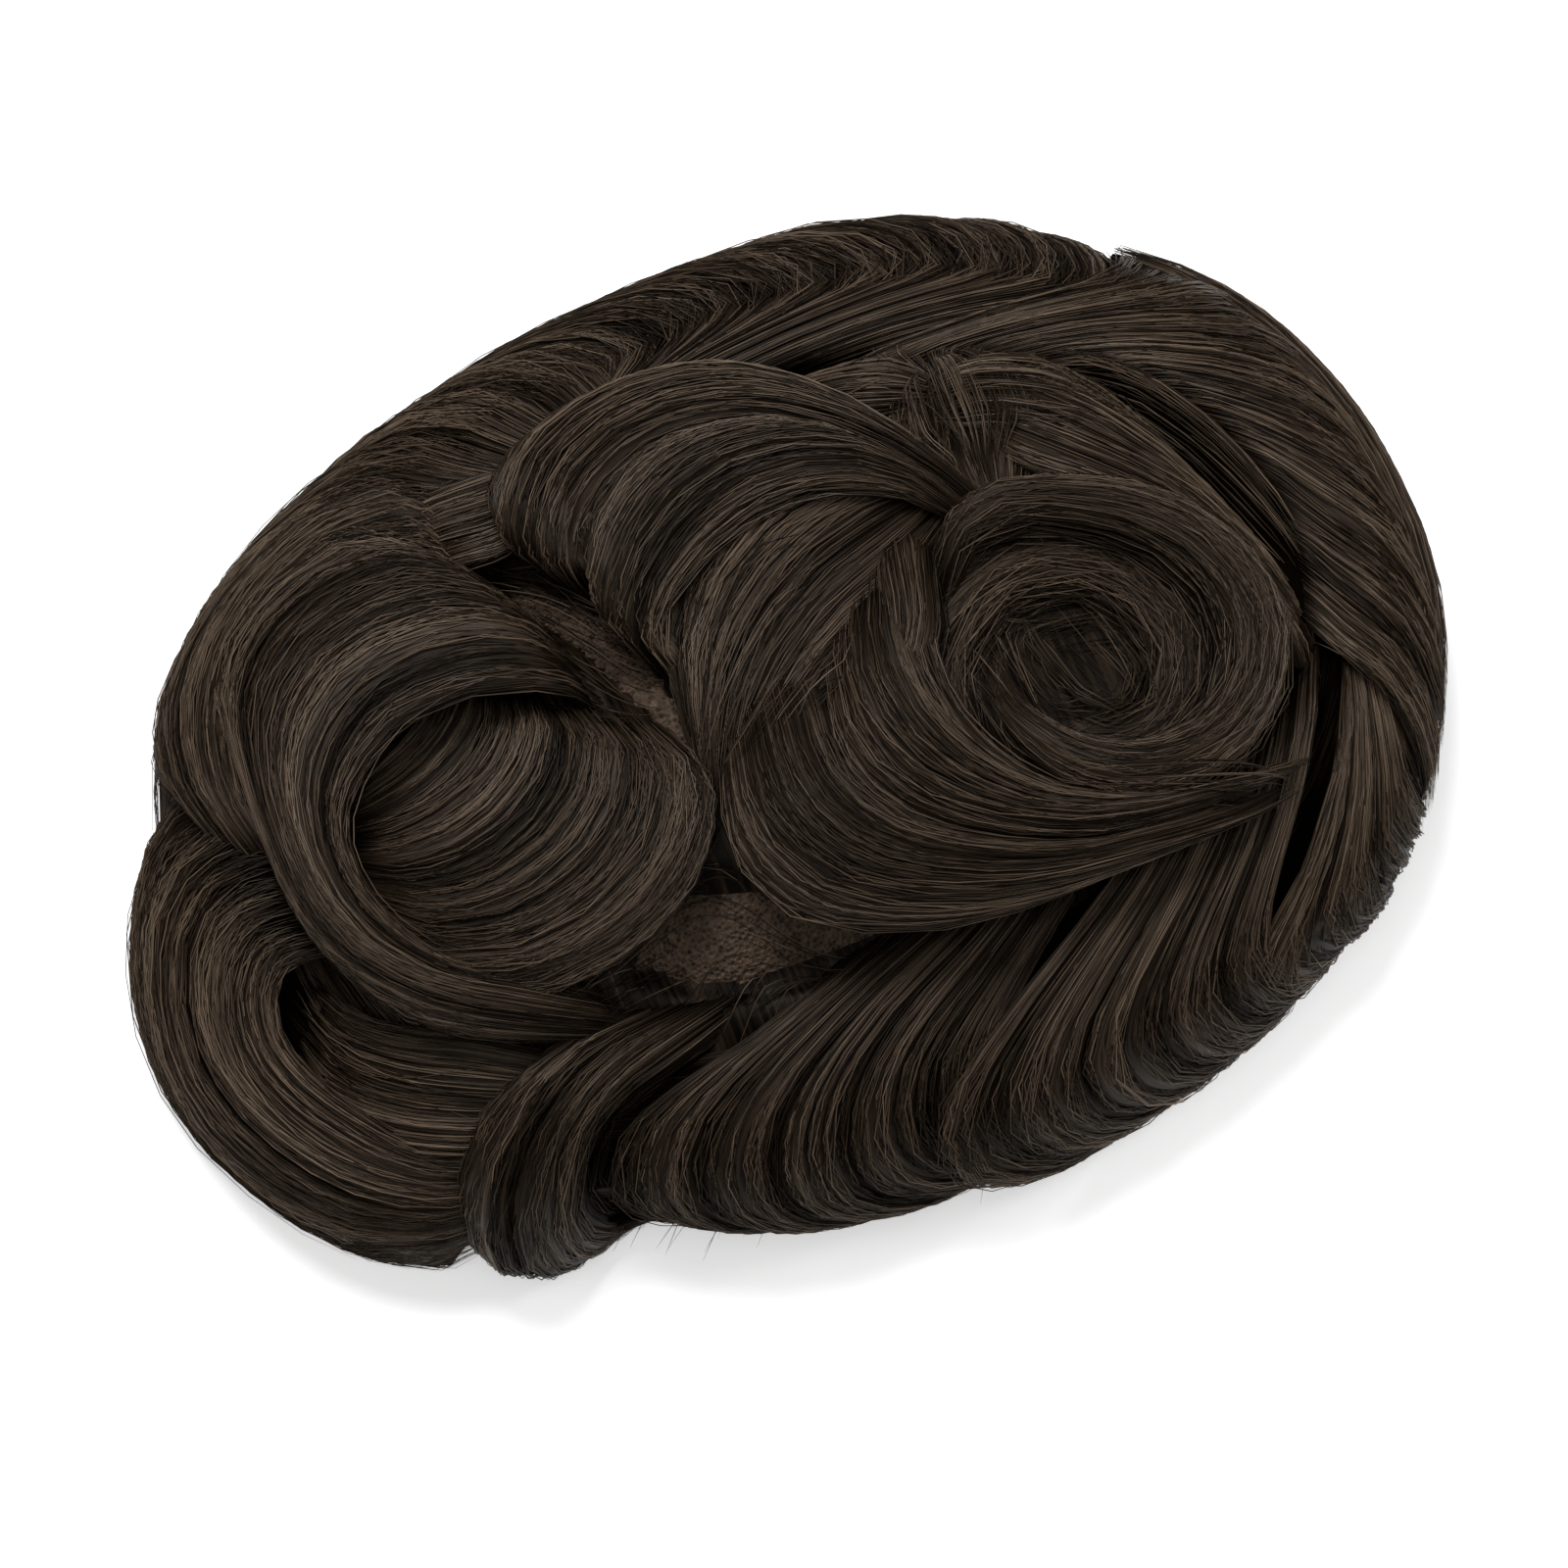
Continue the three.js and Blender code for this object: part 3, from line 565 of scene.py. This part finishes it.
class Lock:
    """A lens-shaped lock under a skin, with ridges along its strands."""

    def __init__(self, name, skin, node=None, place=None, depth=BAND_DEPTH, bulge=0.3, edge=EDGE_DROP,
                 tilt=(0, 0), crest=0.0, root_shade=ROOT_SHADE, tone=0.0, body=True, cover=1.0, span=0.55, gather=0.5):
        self.name = name
        self.node = node or name
        self.skin = skin
        self.place = place or (lambda across, along: (across, along))
        self.depth = depth
        self.bulge = bulge
        self.edge = edge
        self.tilt = tilt
        self.crest = crest
        self.root_shade = root_shade
        self.tone = tone
        self.body = body
        self.cover = cover
        self.span = span
        self.gather = gather
        self.waves = rng.uniform(0, 2 * np.pi, (len(RIDGE_LENGTHS_MM), 2))
        self.facing = 1.0
        if self.normal(np.array([0.5]), np.array([0.4]))[0, 2] < 0:
            self.facing = -1.0
        along = np.linspace(0.1, 0.9, 25)
        edges = [self.surface(np.full(25, side), along) for side in (0.0, 0.5, 1.0)]
        self.width = float(np.linalg.norm(edges[2] - edges[0], axis=1).mean())
        self.length = float(np.linalg.norm(np.diff(edges[1], axis=0), axis=1).sum()) / 0.8

    def surface(self, across, along):
        return self.skin(*self.place(across, along))

    def normal(self, across, along):
        s, t = self.place(across, along)
        s, t = np.broadcast_arrays(s, t)
        step = 0.01
        wide = step * (np.abs(s).max() + 1)
        low = np.clip(t - step, 0, 1 - 2 * step)
        a = self.skin(s + wide, t) - self.skin(s - wide, t)
        b = self.skin(s, low + 2 * step) - self.skin(s, low)
        return unit(np.cross(a, b)) * self.facing

    def shadow(self, along):
        """How much darker the lock is painted near its root, as painted shade in the crevice under it."""
        return self.root_shade[0] * (1 - smooth(along / self.root_shade[1]))

    def tint(self, across, along):
        """Painted shade and light: darker in the valleys between the ridges, lighter on their crests, and
        darker towards the root; the lock's tone is added.
        """
        return RIDGE_SHADE_TINT * self.ridges(across, along) + self.tone - self.shadow(along)

    def taper(self, along):
        return 0.35 + 0.65 * np.clip(4 * np.minimum(along, 1 - along), 0, 1) ** 0.7

    def pinch(self, along):
        """How the lock narrows towards its ends, as a share of its width."""
        tip = mix(self.gather, 1, smooth((1 - along) / 0.35))
        root = mix(0.5 + 0.5 * self.gather, 1, smooth(along / 0.15))
        return tip * root

    def ridges(self, across, along):
        """Low waves across the lock that run along its strands."""
        height = 0
        for wave, wavelength in zip(self.waves, RIDGE_LENGTHS_MM):
            drift = 0.9 * np.sin(wave[1] + 2.5 * along)
            phase = wave[0] + 2 * np.pi * across * self.width / (wavelength * MM) + drift
            height = height + (0.02 * wavelength + 0.06) * MM * np.sin(phase)
        return height * self.taper(along)

    def top(self, across, along, lift=0.0):
        """Points over the lock, a lift above its ridges, and the skin's normals there."""
        inside = np.clip(across, 0, 1)
        taper = self.taper(along)
        crown = self.bulge * HAIR_LOFT * np.sin(np.pi * inside) * taper
        edge = self.edge * taper * (np.clip(np.sin(np.pi * inside), 0, 1) ** 0.6 - 1)
        edge = edge + (self.tilt[0] * (1 - inside) ** 3 + self.tilt[1] * inside**3) * MM
        across = 0.5 + (across - 0.5) * self.pinch(along)
        normal = self.normal(across, along)
        crest = self.crest * np.exp(-(((along - CREST_PLACE) / CREST_SPREAD) ** 2))
        height = crown + edge + crest + self.ridges(across, along) + lift
        return self.surface(across, along) + normal * height[..., None], normal


class Hair:
    """Gathers the closed shells of one piece, with each point's tint and place along the flow."""

    def __init__(self):
        self.points = []
        self.triangles = []
        self.tints = []
        self.flows = []
        self.count = 0

    def add_rings(self, rings, tints, flow):
        """A closed skin over rings of points, (shells, steps, sides, 3), kept above the floor."""
        shells, steps, sides = rings.shape[:3]
        i = np.arange(steps - 1)[:, None] * sides
        k = np.arange(sides)[None, :]
        a = i + k
        b = i + (k + 1) % sides
        c = b + sides
        skin = np.stack([a, b, c, a, c, a + sides], -1).reshape(-1, 3)
        fan = np.arange(1, sides - 1)
        start = np.stack([np.zeros_like(fan), fan + 1, fan], -1)
        end = np.stack([np.zeros_like(fan), fan, fan + 1], -1) + (steps - 1) * sides
        one = np.concatenate([skin, start, end])
        every = one[None] + (np.arange(shells) * steps * sides)[:, None, None]
        points = rings.reshape(-1, 3).copy()
        points[:, 2] = np.maximum(points[:, 2], LEAST_GAP)
        self.points.append(points)
        self.triangles.append(every.reshape(-1, 3) + self.count)
        self.tints.append(np.broadcast_to(tints, rings.shape[:-1]).reshape(-1))
        self.flows.append(np.broadcast_to(flow, rings.shape[:-1] + (2,)).reshape(-1, 2))
        self.count += len(self.points[-1])

    def add_strands(self, paths, normals, radii, tints, flow):
        """Thin tubes along paths: (strands, steps, 3)."""
        tangent = unit(np.gradient(paths, axis=1))
        side = unit(np.cross(tangent, normals))
        up = np.cross(side, tangent)
        angles = 0.5 * np.pi + 2 * np.pi * np.arange(STRAND_SIDES) / STRAND_SIDES
        c = np.cos(angles)[:, None]
        s = np.sin(angles)[:, None]
        spokes = c * side[:, :, None, :] + s * up[:, :, None, :]
        rings = paths[:, :, None, :] + spokes * radii[:, :, None, None]
        self.add_rings(rings, tints[:, :, None], flow[:, :, None])

    def mesh(self, name):
        points = np.concatenate(self.points)
        triangles = np.concatenate(self.triangles)
        mesh = bpy.data.meshes.new(name)
        mesh.vertices.add(len(points))
        mesh.vertices.foreach_set("co", points.astype(np.float32).ravel())
        mesh.loops.add(triangles.size)
        mesh.loops.foreach_set("vertex_index", triangles.astype(np.int32).ravel())
        mesh.polygons.add(len(triangles))
        mesh.polygons.foreach_set("loop_start", np.arange(0, triangles.size, 3, dtype=np.int32))
        mesh.polygons.foreach_set("use_smooth", np.ones(len(triangles), bool))
        mesh.attributes.new("tint", "FLOAT", "POINT")
        mesh.attributes["tint"].data.foreach_set("value", np.concatenate(self.tints).astype(np.float32))
        flow = np.concatenate(self.flows)
        flow = np.concatenate([flow, np.zeros((len(flow), 1))], 1)
        mesh.attributes.new("flow", "FLOAT_VECTOR", "POINT")
        mesh.attributes["flow"].data.foreach_set("vector", flow.astype(np.float32).ravel())
        mesh.update()
        mesh.validate()
        return mesh


def add_body(hair, lock, columns=56, steps=40, tint=BODY_SHADE_TINT):
    """The lock's own closed form, which its strands lie on. It ends in a point before they do. It is painted
    darker than the strands, as painted shade under them, and its root darker still.
    """
    along = np.linspace(0, BODY_END, steps)[:, None] * np.ones((1, columns + 1 + BODY_UNDERSIDE))
    upper = np.linspace(0, 1, columns + 1)
    lower = 0.5 + 0.5 * np.cos(np.pi * np.arange(1, BODY_UNDERSIDE + 1) / (BODY_UNDERSIDE + 1))
    across = np.broadcast_to(np.concatenate([upper, lower]), along.shape)
    narrow = mix(lock.gather, 1, np.sqrt(np.clip((BODY_END - along) / BODY_POINT, 0, 1)))
    points, normal = lock.top(0.5 + (across - 0.5) * narrow, along)
    full = np.sin(np.pi * across) ** 0.6
    full[:, : columns + 1] = 0
    thickness = lock.depth * lock.taper(along) * full
    sink = BODY_SINK * (2 - smooth(along / BODY_ROOT) - smooth((BODY_END - along) / BODY_ROOT))
    points = points - normal * (thickness + sink + LEAST_GAP)[..., None]
    flow = np.stack([across * lock.width, along * lock.length], -1)
    # Painted shade: the dark body tint, the ridge valleys, and the darker root, which is taken twice here.
    tint = tint + lock.tint(across, along) - lock.shadow(along)
    if lock.facing < 0:
        points = points[:, ::-1]
        flow = flow[:, ::-1]
        tint = tint[:, ::-1]
    hair.add_rings(points[None], tint[None], flow[None])


def add_lock_strands(hair, lock):
    """Strands that run along the lock from root to tip in fine clumps, and a few loose ones over them."""
    share = 0.5 * (1 + lock.span)
    count = int(COVERAGE * lock.cover * lock.width / (2 * STRAND_RADIUS) / share)
    steps = int(np.clip(lock.length * share / STRAND_PITCH, *STRAND_STEPS))
    t = np.linspace(0, 1, steps)[None, :]
    reach = rng.uniform(lock.span, 1, count)
    first = (1 - reach) * rng.uniform(0, 1, count) ** 1.3
    along = first[:, None] + reach[:, None] * t
    place = rng.uniform(-0.02, 1.02, count)
    fringe = np.where(rng.uniform(size=count) < FRINGE_SHARE, rng.choice([-1, 1], count), 0)
    place = np.where(fringe == 0, place, 0.5 + 0.5 * fringe * rng.uniform(0.85, 1.02, count))
    clumps = max(3, int(lock.width / CLUMP_WIDTH))
    centres = (np.arange(clumps) + rng.uniform(0.2, 0.8, clumps)) / clumps
    member = np.clip((place * clumps).astype(int), 0, clumps - 1)
    pull = 0.1 + 0.4 * along**1.5
    across = mix(place[:, None], centres[member][:, None], pull)
    across = across + rng.normal(0, 0.008, clumps)[member][:, None] * np.sin(np.pi * along)
    across = across + 0.15 * MM / lock.width * np.sin(rng.uniform(0, 2 * np.pi, (count, 1)) + 8 * along)
    loose = rng.uniform(size=count) < LOOSE_SHARE
    cross = np.where(loose, rng.normal(0, STRAY_WIDTH / lock.width, count), 0)[:, None]
    across = np.clip(across + cross * (t - 0.4), -0.04, 1.04)
    across = across + (fringe * rng.uniform(0, STRAY_WIDTH / lock.width, count))[:, None] * t
    level = rng.uniform(0, 1, count)
    lift = (0.9 * level[:, None] - 0.15) * MM
    lift = lift + np.where(loose, rng.uniform(0.1, 0.8, count) * MM, 0)[:, None] * np.sin(np.pi * t)
    lift = lift - 0.5 * MM * (1 - smooth(5 * t)) - 0.4 * MM * smooth(5 * t - 4)
    paths, normals = lock.top(across, along, lift)
    size = rng.uniform(0.75, 1.2, (count, 1))
    radii = STRAND_RADIUS * size * np.clip(np.minimum(0.5 + 4 * t, 0.15 + 3 * (1 - t)), 0, 1)
    bands = max(3, int(lock.width / TONE_WIDTH))
    tone = np.interp(place, np.linspace(0, 1, bands + 1), rng.uniform(-1, 1, bands + 1))
    # Strands that lie lower are painted darker, as painted shade among the hair, and loose strands that stand
    # higher are painted lighter, as painted light. The bands and the rest are random tone.
    tint = 0.12 + 0.3 * level + 0.12 * tone + 0.45 * rng.uniform(0, 1, count) ** 2.5 + 0.1 * loose
    tint = tint[:, None] + lock.tint(across, along)
    flow = np.stack([rng.uniform(0, 1, count)[:, None] + 0 * t, along * lock.length], -1)
    hair.add_strands(paths, normals, radii, tint, flow)


def patch_distance(x, y):
    """How far plan points lie outside the bare patches, in metres; negative inside one."""
    nearest = np.full(x.shape, 1.0)
    for rows in PATCHES:
        rows = np.asarray(rows, float)
        middles = rows[:, :2] * (HALF_LENGTH, HALF_WIDTH)
        widths = rows[:, 2] * MM
        for a, b, wa, wb in zip(middles[:-1], middles[1:], widths[:-1], widths[1:]):
            d = b - a
            share = ((x - a[0]) * d[0] + (y - a[1]) * d[1]) / (d @ d)
            share = np.clip(share, 0, 1)
            gap = np.hypot(x - a[0] - share * d[0], y - a[1] - share * d[1])
            nearest = np.minimum(nearest, gap - mix(wa, wb, share))
    return nearest


def cap_height(x, y, offset):
    """The height of the cap's dome, grown outwards by an offset."""
    rise = CAP_RISE - RIM_LIP + offset
    return RIM_LIP + dome_height(x, y, HALF_LENGTH + offset, HALF_WIDTH + offset, rise)


def add_dome(hair, offset, wall, floor, bare, rings=24, sides=150):
    """A closed dome shell over the cap's outline, grown outwards by an offset.

    If it leaves the bare patches bare, it sinks into the cap there.
    """
    shares = np.sin(0.5 * np.pi * np.arange(rings, 0, -1) / rings)
    angle = np.linspace(0, 2 * np.pi, sides, endpoint=False)
    edge, out = cap_edge(angle)
    layers = []
    for grown in (offset, offset - wall):
        plan = (edge + out * grown)[None] * shares[:, None, None]
        height = cap_height(plan[..., 0], plan[..., 1], grown)
        foot = np.concatenate([edge + out * grown, np.full((sides, 1), floor)], -1)[None]
        dome = np.concatenate([foot, np.concatenate([plan, height[..., None]], -1)])
        tip = np.zeros((1, sides, 3))
        tip[..., 2] = CAP_RISE + grown
        layers.append(np.concatenate([dome[:-1], mix(dome[-1:], tip, 0.98)]))
    outer, inner = layers
    if bare:
        bareness = 1 - smooth(patch_distance(outer[..., 0], outer[..., 1]) / PATCH_BLEND + 0.4)
        outer[..., 2] -= (offset + 0.5 * CAP_WALL) * bareness
        inner[..., 2] = np.minimum(inner[..., 2], outer[..., 2] - LEAST_GAP)
    points = np.concatenate([outer[::-1], inner]) + CAP_CENTRE
    flow = points[..., :2] * 0.3
    hair.add_rings(points[None], DOME_TINT, flow[None])


class Shade:
    """A plan grid that knows where locks lie over the cap."""

    CELL = 2 * MM
    HALF = 80

    def __init__(self):
        self.covered = np.zeros((2 * self.HALF, 2 * self.HALF), bool)

    def cells(self, x, y):
        i = np.clip((x / self.CELL).astype(int) + self.HALF, 0, 2 * self.HALF - 1)
        k = np.clip((y / self.CELL).astype(int) + self.HALF, 0, 2 * self.HALF - 1)
        return i, k

    def add(self, lock):
        across, along = np.meshgrid(np.linspace(0.15, 0.85, 60), np.linspace(0.08, 0.85, 160))
        points = lock.surface(across, along) - CAP_CENTRE
        self.covered[self.cells(points[..., 0], points[..., 1])] = True

    def over(self, x, y):
        return self.covered[self.cells(x, y)]


def flow_heading(x, y):
    """The under-hair's heading at plan points, blended between the rows of ROOT_FLOW."""
    flow = np.asarray(ROOT_FLOW, float)
    dx = x[..., None] - flow[:, 0] * HALF_LENGTH
    dy = y[..., None] - flow[:, 1] * HALF_WIDTH
    weight = 1 / (dx**2 + dy**2 + (4 * MM) ** 2) ** 1.5
    heading = np.radians(flow[:, 2])
    return np.arctan2((weight * np.sin(heading)).sum(-1), (weight * np.cos(heading)).sum(-1))


def add_root_strands(hair, shade, count):
    """Short strands that leave the knots of the cap and lie along the flow, where no lock hides them."""
    x = rng.uniform(-1, 1, 12 * count) * HALF_LENGTH
    y = rng.uniform(-1, 1, 12 * count) * HALF_WIDTH
    share = np.abs(x / HALF_LENGTH) ** OUTLINE_POWER + np.abs(y / HALF_WIDTH) ** OUTLINE_POWER
    keep = (share < 0.97) & (patch_distance(x, y) > rng.uniform(-8, 1, x.shape) * MM) & ~shade.over(x, y)
    x, y = x[keep][:count], y[keep][:count]
    length = rng.uniform(*ROOT_LENGTHS_MM, x.shape) * MM
    lean = rng.normal(0, ROOT_LEAN, x.shape)
    level = rng.uniform(0, 1, x.shape)
    points = []
    for t in np.linspace(0, 1, ROOT_STEPS):
        lift = ROOT_GAP + ROOT_DEPTH + 2.2 * MM * level * math.sin(math.pi * min(0.5, t))
        z = cap_height(x, y, 0.0) + lift - 3 * MM * (1 - t) ** 5
        points.append(np.stack([x, y, z], -1) + CAP_CENTRE)
        heading = flow_heading(x, y) + lean
        x = x + np.cos(heading) * length / (ROOT_STEPS - 1)
        y = y + np.sin(heading) * length / (ROOT_STEPS - 1)
    paths = np.stack(points, 1)
    t = np.linspace(0, 1, ROOT_STEPS)[None, :]
    normals = np.broadcast_to(unit(paths[:, :1] - CAP_CENTRE - [0, 0, -0.02]), paths.shape)
    radii = STRAND_RADIUS * np.clip(np.minimum(0.5 + 4 * t, 0.15 + 3 * (1 - t)), 0, 1)
    radii = radii * rng.uniform(0.7, 1.1, (len(paths), 1))
    # Strands that lie lower are painted darker, as painted shade among the hair.
    tint = 0.1 + 0.25 * level + 0.4 * rng.uniform(0, 1, level.shape) ** 2.5
    flow = np.stack([rng.uniform(0, 1, level.shape)[:, None] + 0 * t, length[:, None] * t], -1)
    hair.add_strands(paths, normals, radii, tint[:, None] + 0 * t, flow)


def streaks(tree, across, along, detail):
    """Noise drawn out along the strands: across and along are its periods in millimetres."""
    flow = tree.nodes.new("ShaderNodeAttribute")
    flow.attribute_name = "flow"
    scale = tree.nodes.new("ShaderNodeVectorMath")
    scale.operation = "MULTIPLY"
    scale.inputs[1].default_value = (1 / (across * MM), 1 / (along * MM), 0)
    tree.links.new(flow.outputs["Vector"], scale.inputs[0])
    noise = tree.nodes.new("ShaderNodeTexNoise")
    noise.inputs["Scale"].default_value = 1
    noise.inputs["Detail"].default_value = detail
    tree.links.new(scale.outputs["Vector"], noise.inputs["Vector"])
    return noise.outputs["Fac"]


def sum_of(tree, start, *terms):
    """A starting value and each further value times its factor."""
    total = None
    for value, factor in terms:
        term = tree.nodes.new("ShaderNodeMath")
        term.operation = "MULTIPLY_ADD"
        term.inputs[1].default_value = factor
        term.inputs[2].default_value = start
        tree.links.new(value, term.inputs[0])
        if total:
            tree.links.new(total, term.inputs[2])
        total = term.outputs[0]
    return total


def ramp_of(tree, shade, stops):
    """Colours for a value. The stops are positions and colours, from dark to light."""
    ramp = tree.nodes.new("ShaderNodeValToRGB")
    elements = ramp.color_ramp.elements
    for element, (position, colour) in zip(elements, (stops[0], stops[-1])):
        element.color = (*colour, 1)
        element.position = position
    for position, colour in stops[1:-1]:
        elements.new(position).color = (*colour, 1)
    tree.links.new(shade, ramp.inputs["Fac"])
    return ramp.outputs["Color"]


def bump_of(tree, height, strength, distance):
    bump = tree.nodes.new("ShaderNodeBump")
    bump.inputs["Strength"].default_value = strength
    bump.inputs["Distance"].default_value = distance
    tree.links.new(height, bump.inputs["Height"])
    return bump.outputs["Normal"]


def new_material(name, roughness):
    """A material and its shader's inputs."""
    material = bpy.data.materials.new(name)
    material.use_nodes = True
    inputs = material.node_tree.nodes["Principled BSDF"].inputs
    inputs["Roughness"].default_value = roughness
    return material, inputs


def hair_material():
    """Brown hair, streaked along the strands. Its tint carries the painted shade and light of the locks.
    Darker hair has less gloss.
    """
    material, inputs = new_material("hair", 0.45)
    tree = material.node_tree
    attribute = tree.nodes.new("ShaderNodeAttribute")
    attribute.attribute_name = "tint"
    tint = attribute.outputs["Fac"]
    fine = streaks(tree, 0.28, 22, 2)
    broad = streaks(tree, 1.6, 40, 1)
    shade = sum_of(tree, -1.1, (tint, 1.0), (fine, 1.5), (broad, 0.8))
    relief = sum_of(tree, 0, (fine, 1.0), (broad, 1.5))
    tree.links.new(ramp_of(tree, shade, HAIR_COLOURS), inputs["Base Color"])
    tree.links.new(bump_of(tree, relief, 0.7, 0.25 * MM), inputs["Normal"])
    tree.links.new(sum_of(tree, 0.02, (tint, 0.4)), inputs["Specular IOR Level"])
    inputs["Specular Tint"].default_value = (1, 0.93, 0.85, 1)
    return material


def cap_material():
    """Brown mesh with rows of knots, creased where it is stretched thin."""
    material, inputs = new_material("base", 0.5)
    tree = material.node_tree
    place = tree.nodes.new("ShaderNodeTexCoord").outputs["Object"]
    knots = tree.nodes.new("ShaderNodeTexVoronoi")
    knots.inputs["Scale"].default_value = 1100
    knots.inputs["Randomness"].default_value = 0.8
    tree.links.new(place, knots.inputs["Vector"])
    crease = tree.nodes.new("ShaderNodeTexNoise")
    crease.inputs["Scale"].default_value = 420
    crease.inputs["Detail"].default_value = 3
    crease.inputs["Distortion"].default_value = 1.2
    tree.links.new(place, crease.inputs["Vector"])
    relief = sum_of(tree, 0, (knots.outputs["Distance"], 0.8), (crease.outputs["Fac"], 0.9))
    tree.links.new(ramp_of(tree, relief, MESH_COLOURS), inputs["Base Color"])
    tree.links.new(bump_of(tree, relief, 0.9, 0.7 * MM), inputs["Normal"])
    inputs["Specular IOR Level"].default_value = 0.25
    return material


def add_piece(name, hair, material, slot, *nodes):
    piece = bpy.data.objects.new(name, hair.mesh(name))
    piece.data.materials.append(material)
    bpy.context.scene.collection.objects.link(piece)
    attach(piece, "root")
    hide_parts(*nodes)


def all_locks():
    """Every lock of the tables and the strip at the back."""
    locks = []
    for table, skin in ((BANDS, band_surface), (SWIRLS, swirl_surface)):
        for name, row in table.items():
            style = {key: value for key, value in row.items() if key != "sections"}
            locks.append(Lock(name, skin(row["sections"]), **style))
    for name, roll in ROLLS.items():
        style = dict(depth=ROLL_DEPTH, bulge=0.04, edge=SEAM_DROP, gather=1.0, span=0.7)
        style.update((key, roll[key]) for key in ROLL_LOOKS if key in roll)
        path = {key: value for key, value in roll.items() if key not in ROLL_LOOKS}
        locks.append(Lock(name, rim_skin, place=rim_place(**path), **style))
    locks.append(Lock("back_strip", rim_skin, node="back_roll", place=strip_place, **STRIP_LOOKS))
    return locks


def dress():
    """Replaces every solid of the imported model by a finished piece."""
    locks = all_locks()
    brown = hair_material()
    base = Hair()
    add_dome(base, 0.0, CAP_WALL, 0.0, bare=False)
    add_piece("base_mesh", base, cap_material(), "base", "base_cap")
    shade = Shade()
    for lock in locks:
        if lock.body and lock.node not in ROLLS and lock.node not in ("swirl_core", "crown_fan_front"):
            shade.add(lock)
    roots = Hair()
    add_dome(roots, ROOT_GAP + ROOT_DEPTH, ROOT_DEPTH, ROOT_DROP, bare=True, rings=44, sides=200)
    add_root_strands(roots, shade, ROOT_STRANDS)
    # The lining is a dark sheet of painted shade under the rolls.
    lining = Lock("lining", rim_skin, place=lining_place, **LINING_LOOKS)
    add_body(roots, lining, 16, 120, LINING_SHADE_TINT)
    add_piece("under_hair", roots, brown, "hair", "hair_roots")
    for node in dict.fromkeys(lock.node for lock in locks):
        hair = Hair()
        for lock in locks:
            if lock.node == node:
                if lock.body:
                    add_body(hair, lock)
                add_lock_strands(hair, lock)
        add_piece(node + "_strands", hair, brown, "hair", node)


# The photograph's camera, about the cap's middle. The frame is 1600 pixels wide, at 5.3 pixels a millimetre.
VIEW_AZIMUTH = -24.4
VIEW_ELEVATION = 70.0
VIEW_DISTANCE = 1.2
VIEW_WIDTH = 1600 / 5.3 * MM
VIEW_TARGET = (0.0, 0.0, 0.026)
VIEW_RIGHT = -2.26 * MM
VIEW_UP = -10.0 * MM
SENSOR = 36.0

# Each light's name, azimuth and elevation in degrees, distance and size in metres, and power in watts.
LIGHTS = [
    ("key", 185, 66, 1.6, 0.7, 18.5),
    ("fill", -30, 70, 1.8, 1.0, 5),
    ("side", 75, 50, 1.6, 0.4, 3.5),
]


def toward(azimuth, elevation):
    """The direction from the hairpiece towards a camera or light, both in degrees. Azimuth 0 is -Y."""
    a, e = math.radians(azimuth), math.radians(elevation)
    return Vector((math.sin(a) * math.cos(e), -math.cos(a) * math.cos(e), math.sin(e)))


def add_camera():
    back = toward(VIEW_AZIMUTH, VIEW_ELEVATION)
    right = toward(VIEW_AZIMUTH + 90, 0)
    up = back.cross(right)
    data = bpy.data.cameras.new("camera")
    data.sensor_width = SENSOR
    data.lens = SENSOR * VIEW_DISTANCE / VIEW_WIDTH
    data.clip_start = 0.01
    data.clip_end = 20
    camera = bpy.data.objects.new("camera", data)
    target = Vector(CAP_CENTRE) + Vector(VIEW_TARGET) + right * VIEW_RIGHT + up * VIEW_UP
    turn = Matrix((right, up, back)).transposed().to_4x4()
    camera.matrix_world = Matrix.Translation(target + back * VIEW_DISTANCE) @ turn
    bpy.context.scene.collection.objects.link(camera)
    bpy.context.scene.camera = camera


def add_light(name, azimuth, elevation, distance, size, power):
    back = toward(azimuth, elevation)
    data = bpy.data.lights.new(name, "AREA")
    data.shape = "DISK"
    data.size = size
    data.energy = power
    light = bpy.data.objects.new(name, data)
    light.location = Vector(CAP_CENTRE) + back * distance
    light.rotation_mode = "QUATERNION"
    light.rotation_quaternion = back.to_track_quat("Z", "Y")
    bpy.context.scene.collection.objects.link(light)


def paper_material():
    """Pale paper that glows a little, so that it renders nearly white."""
    material, inputs = new_material("paper", 0.9)
    inputs["Base Color"].default_value = (0.9, 0.9, 0.9, 1)
    inputs["Emission Color"].default_value = (1, 1, 1, 1)
    inputs["Emission Strength"].default_value = 0.45
    return material


def add_studio():
    bpy.ops.mesh.primitive_plane_add(size=12, location=(0, 0, 0))
    floor = bpy.context.object
    floor.name = "floor"
    floor.data.materials.append(paper_material())
    world = bpy.data.worlds.new("studio")
    world.use_nodes = True
    background = world.node_tree.nodes["Background"]
    background.inputs["Color"].default_value = (1, 1, 1, 1)
    background.inputs["Strength"].default_value = 0.3
    scene = bpy.context.scene
    scene.world = world
    scene.view_settings.view_transform = "Standard"
    for light in LIGHTS:
        add_light(*light)


add_camera()
add_studio()
dress()
